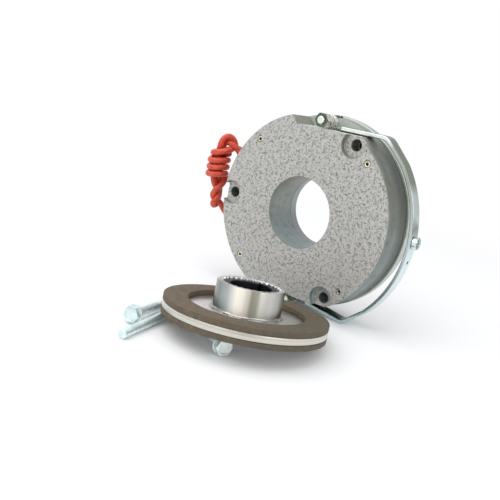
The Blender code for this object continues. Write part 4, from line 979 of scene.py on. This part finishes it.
def lying(x, y, heading, height, lean):
    """Place of a bar on the floor: its right, its upper side and its length, which goes down by the lean."""
    heading = np.radians(heading)
    level = np.array((np.cos(heading), np.sin(heading), 0))
    right = np.array((np.sin(heading), -np.cos(heading), 0))
    along = level * np.cos(lean) - np.array((0, 0, 1)) * np.sin(lean)
    upward = level * np.sin(lean) + np.array((0, 0, 1)) * np.cos(lean)
    return FLOOR_SHIFT + (x, y, height), right, upward, along


lean = np.arcsin((WASHER_RADIUS - SCREW_RADIUS) / (SCREW_LENGTH - 0.0003 - WASHER_THICKNESS / 2))
rise = (HEAD_HEIGHT + 0.0003 + WASHER_THICKNESS / 2) * np.sin(lean) + WASHER_RADIUS * np.cos(lean) + 0.0001
for number, (x, y, heading) in enumerate(SCREW_PLACES):
    place = lying(x, y, heading, rise, lean)
    tip = HEAD_HEIGHT + SCREW_LENGTH
    rows = [(0, 0.0004), (ACROSS_FLATS * 0.36, 0.0004), (ACROSS_FLATS * 0.40, 0)]
    rows += head_rows(0, HEAD_HEIGHT, ACROSS_FLATS, high_cut=False)
    rows += [(SCREW_RADIUS + 0.0003, HEAD_HEIGHT), (SCREW_RADIUS, HEAD_HEIGHT + 0.0003),
             (SCREW_RADIUS, THREAD_START)]
    rows += thread_rows(THREAD_START + 0.0004, tip - 0.0008, SCREW_RADIUS) + [(SCREW_RADIUS - 0.0011, tip),
                                                                              (0, tip)]
    screw = ringed(f"screw_{number + 1}", *zip(*rows), place, zinc)
    near = HEAD_HEIGHT + 0.0003
    washer = turned(f"washer_{number + 1}", rounded(
        [(SCREW_RADIUS + 0.0003, near), (WASHER_RADIUS, near), (WASHER_RADIUS, near + WASHER_THICKNESS),
         (SCREW_RADIUS + 0.0003, near + WASHER_THICKNESS)], (0.0002, 0.0003, 0.0003, 0.0002), 2), place,
                    zinc, 56)
    for piece, node in ((screw, f"fixing_screw_{number + 1}"), (washer, f"fixing_washer_{number + 1}")):
        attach(piece, "magnet")
        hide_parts(node)

# The release lever is a plated rod with a thinner thread at one end, unscrewed from the bail and laid on
# the floor.
LEVER_RADIUS, LEVER_LENGTH, LEVER_THREAD, LEVER_THREAD_LENGTH = 0.004, 0.075, 0.003, 0.010
place = lying(-0.0162, -0.1944, 102.2, LEVER_RADIUS + 0.0001, 0.0)
neck = LEVER_LENGTH - LEVER_THREAD_LENGTH
swell = np.linspace(0, np.pi / 2, 6)
rows = [(0, 0)] + [(LEVER_RADIUS - 0.0012 + 0.0012 * np.sin(s), 0.0012 - 0.0012 * np.cos(s)) for s in swell]
rows += [(LEVER_RADIUS, neck - 0.0003), (LEVER_RADIUS - 0.0003, neck), (LEVER_THREAD, neck)]
rows += thread_rows(neck + 0.0004, LEVER_LENGTH - 0.0006, LEVER_THREAD, 0.001, 0.0005)
rows += [(LEVER_THREAD - 0.0008, LEVER_LENGTH), (0, LEVER_LENGTH)]
lever = ringed("lever", *zip(*rows), place, zinc)
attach(lever, "magnet")
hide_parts("release_lever_rod")

# The studio: a white floor that fades into a white surround, one broad soft lamp above and a weak one beside.
# The surround lights the object evenly, and bright metal shows it with darker strips, as in a tent of cloth.
floor = Finish("studio_floor")
tree = floor.tree
tree.nodes.remove(floor.shader)
seen = floor.node("ShaderNodeLightPath", out="Is Camera Ray")
mirrored = floor.node("ShaderNodeLightPath", out="Is Glossy Ray")
through = floor.node("ShaderNodeLightPath", out="Is Transmission Ray")
shown = floor.node("ShaderNodeMath", {"operation": "MAXIMUM"}, {0: seen, 1: mirrored})
shown = floor.node("ShaderNodeMath", {"operation": "MAXIMUM"}, {0: shown, 1: through})
away = floor.node("ShaderNodeVectorMath", {"operation": "LENGTH"}, {0: floor.spot()}, out="Value")
cloth = floor.node("ShaderNodeBsdfDiffuse", None, {"Color": (0.86, 0.865, 0.875)})
glow = floor.node("ShaderNodeEmission", None, {"Color": (1.0, 1.0, 1.0), "Strength": 0.05})
lit = floor.node("ShaderNodeAddShader", None, {0: cloth, 1: glow})
white = floor.node("ShaderNodeEmission", None, {"Color": (1.0, 1.0, 1.0), "Strength": 1.0})
near = floor.node("ShaderNodeMixShader", None, {0: shown, 1: cloth, 2: lit})
spread = floor.node("ShaderNodeMixShader", None, {0: floor.ease(away, 0.35, 0.9) * shown, 1: near, 2: white})
tree.links.new(spread.socket, tree.nodes["Material Output"].inputs["Surface"])
ground = bpy.data.meshes.new("studio_floor")
ground.from_pydata([(-9, -9, 0), (9, -9, 0), (9, 9, 0), (-9, 9, 0)], [], [(0, 1, 2, 3)])
ground.materials.append(floor.material)
ground_piece = bpy.data.objects.new("studio_floor", ground)
bpy.context.scene.collection.objects.link(ground_piece)


class Surround(Finish):
    """The nodes of the world round the studio, which has no material and no shader of its own."""

    def __init__(self, world):
        self.tree = world.node_tree


world = bpy.data.worlds.new("studio")
world.use_nodes = True
bpy.context.scene.world = world
surround = Surround(world)
direction = surround.node("ShaderNodeTexCoord", out="Generated")
x, y, z = (surround.part(direction, axis) for axis in range(3))
seen = surround.node("ShaderNodeLightPath", out="Is Camera Ray")
mirrored = surround.node("ShaderNodeLightPath", out="Is Glossy Ray")
turn_round = surround.node("ShaderNodeMath", {"operation": "ARCTAN2"}, {0: y, 1: x}) / 6.2832 + 0.5
strips = surround.node("ShaderNodeValToRGB", {"stops": (
    (0.00, (0.90, 0.92, 0.95)), (0.12, (0.42, 0.44, 0.46)), (0.20, (0.95, 0.95, 0.93)),
                                                        (0.28, (1.0, 1.0, 1.0)),
    (0.36, (0.38, 0.36, 0.33)), (0.44, (0.95, 0.94, 0.92)), (0.60, (0.85, 0.87, 0.90)),
                                                        (0.74, (0.50, 0.53, 0.58)),
    (0.88, (0.95, 0.97, 1.0)), (1.0, (0.90, 0.92, 0.95)))}, {0: turn_round})
ceiling = surround.blend(surround.ease(z, 0.35, 0.85), strips, (1.0, 1.0, 1.0))
lamp_light = surround.blend(surround.ease(z, -0.1, 0.9), (0.72, 0.73, 0.75), (0.90, 0.90, 0.90))
unseen = surround.blend(mirrored, lamp_light, ceiling)
background = world.node_tree.nodes["Background"]
world.node_tree.links.new(surround.blend(seen, unseen, (1.0, 1.0, 1.0)).socket, background.inputs["Color"])

for name, place, target, size, energy in (("lamp_above", (-0.35, -0.45, 1.10), (0, 0, 0.05), 1.5, 7.0),
                                          ("lamp_beside", (0.9, -0.2, 0.6), (0, 0, 0.1), 0.6, 1.5)):
    light = bpy.data.lights.new(name, "AREA")
    light.shape, light.size, light.energy = "DISK", size, energy
    lamp = bpy.data.objects.new(name, light)
    bpy.context.scene.collection.objects.link(lamp)
    lamp.location = place
    lamp.rotation_mode = "QUATERNION"
    lamp.rotation_quaternion = (Matrix.Translation(target).translation - lamp.location).to_track_quat("-Z",
                                                                                                      "Y")
bpy.context.scene.view_settings.view_transform = "Standard"
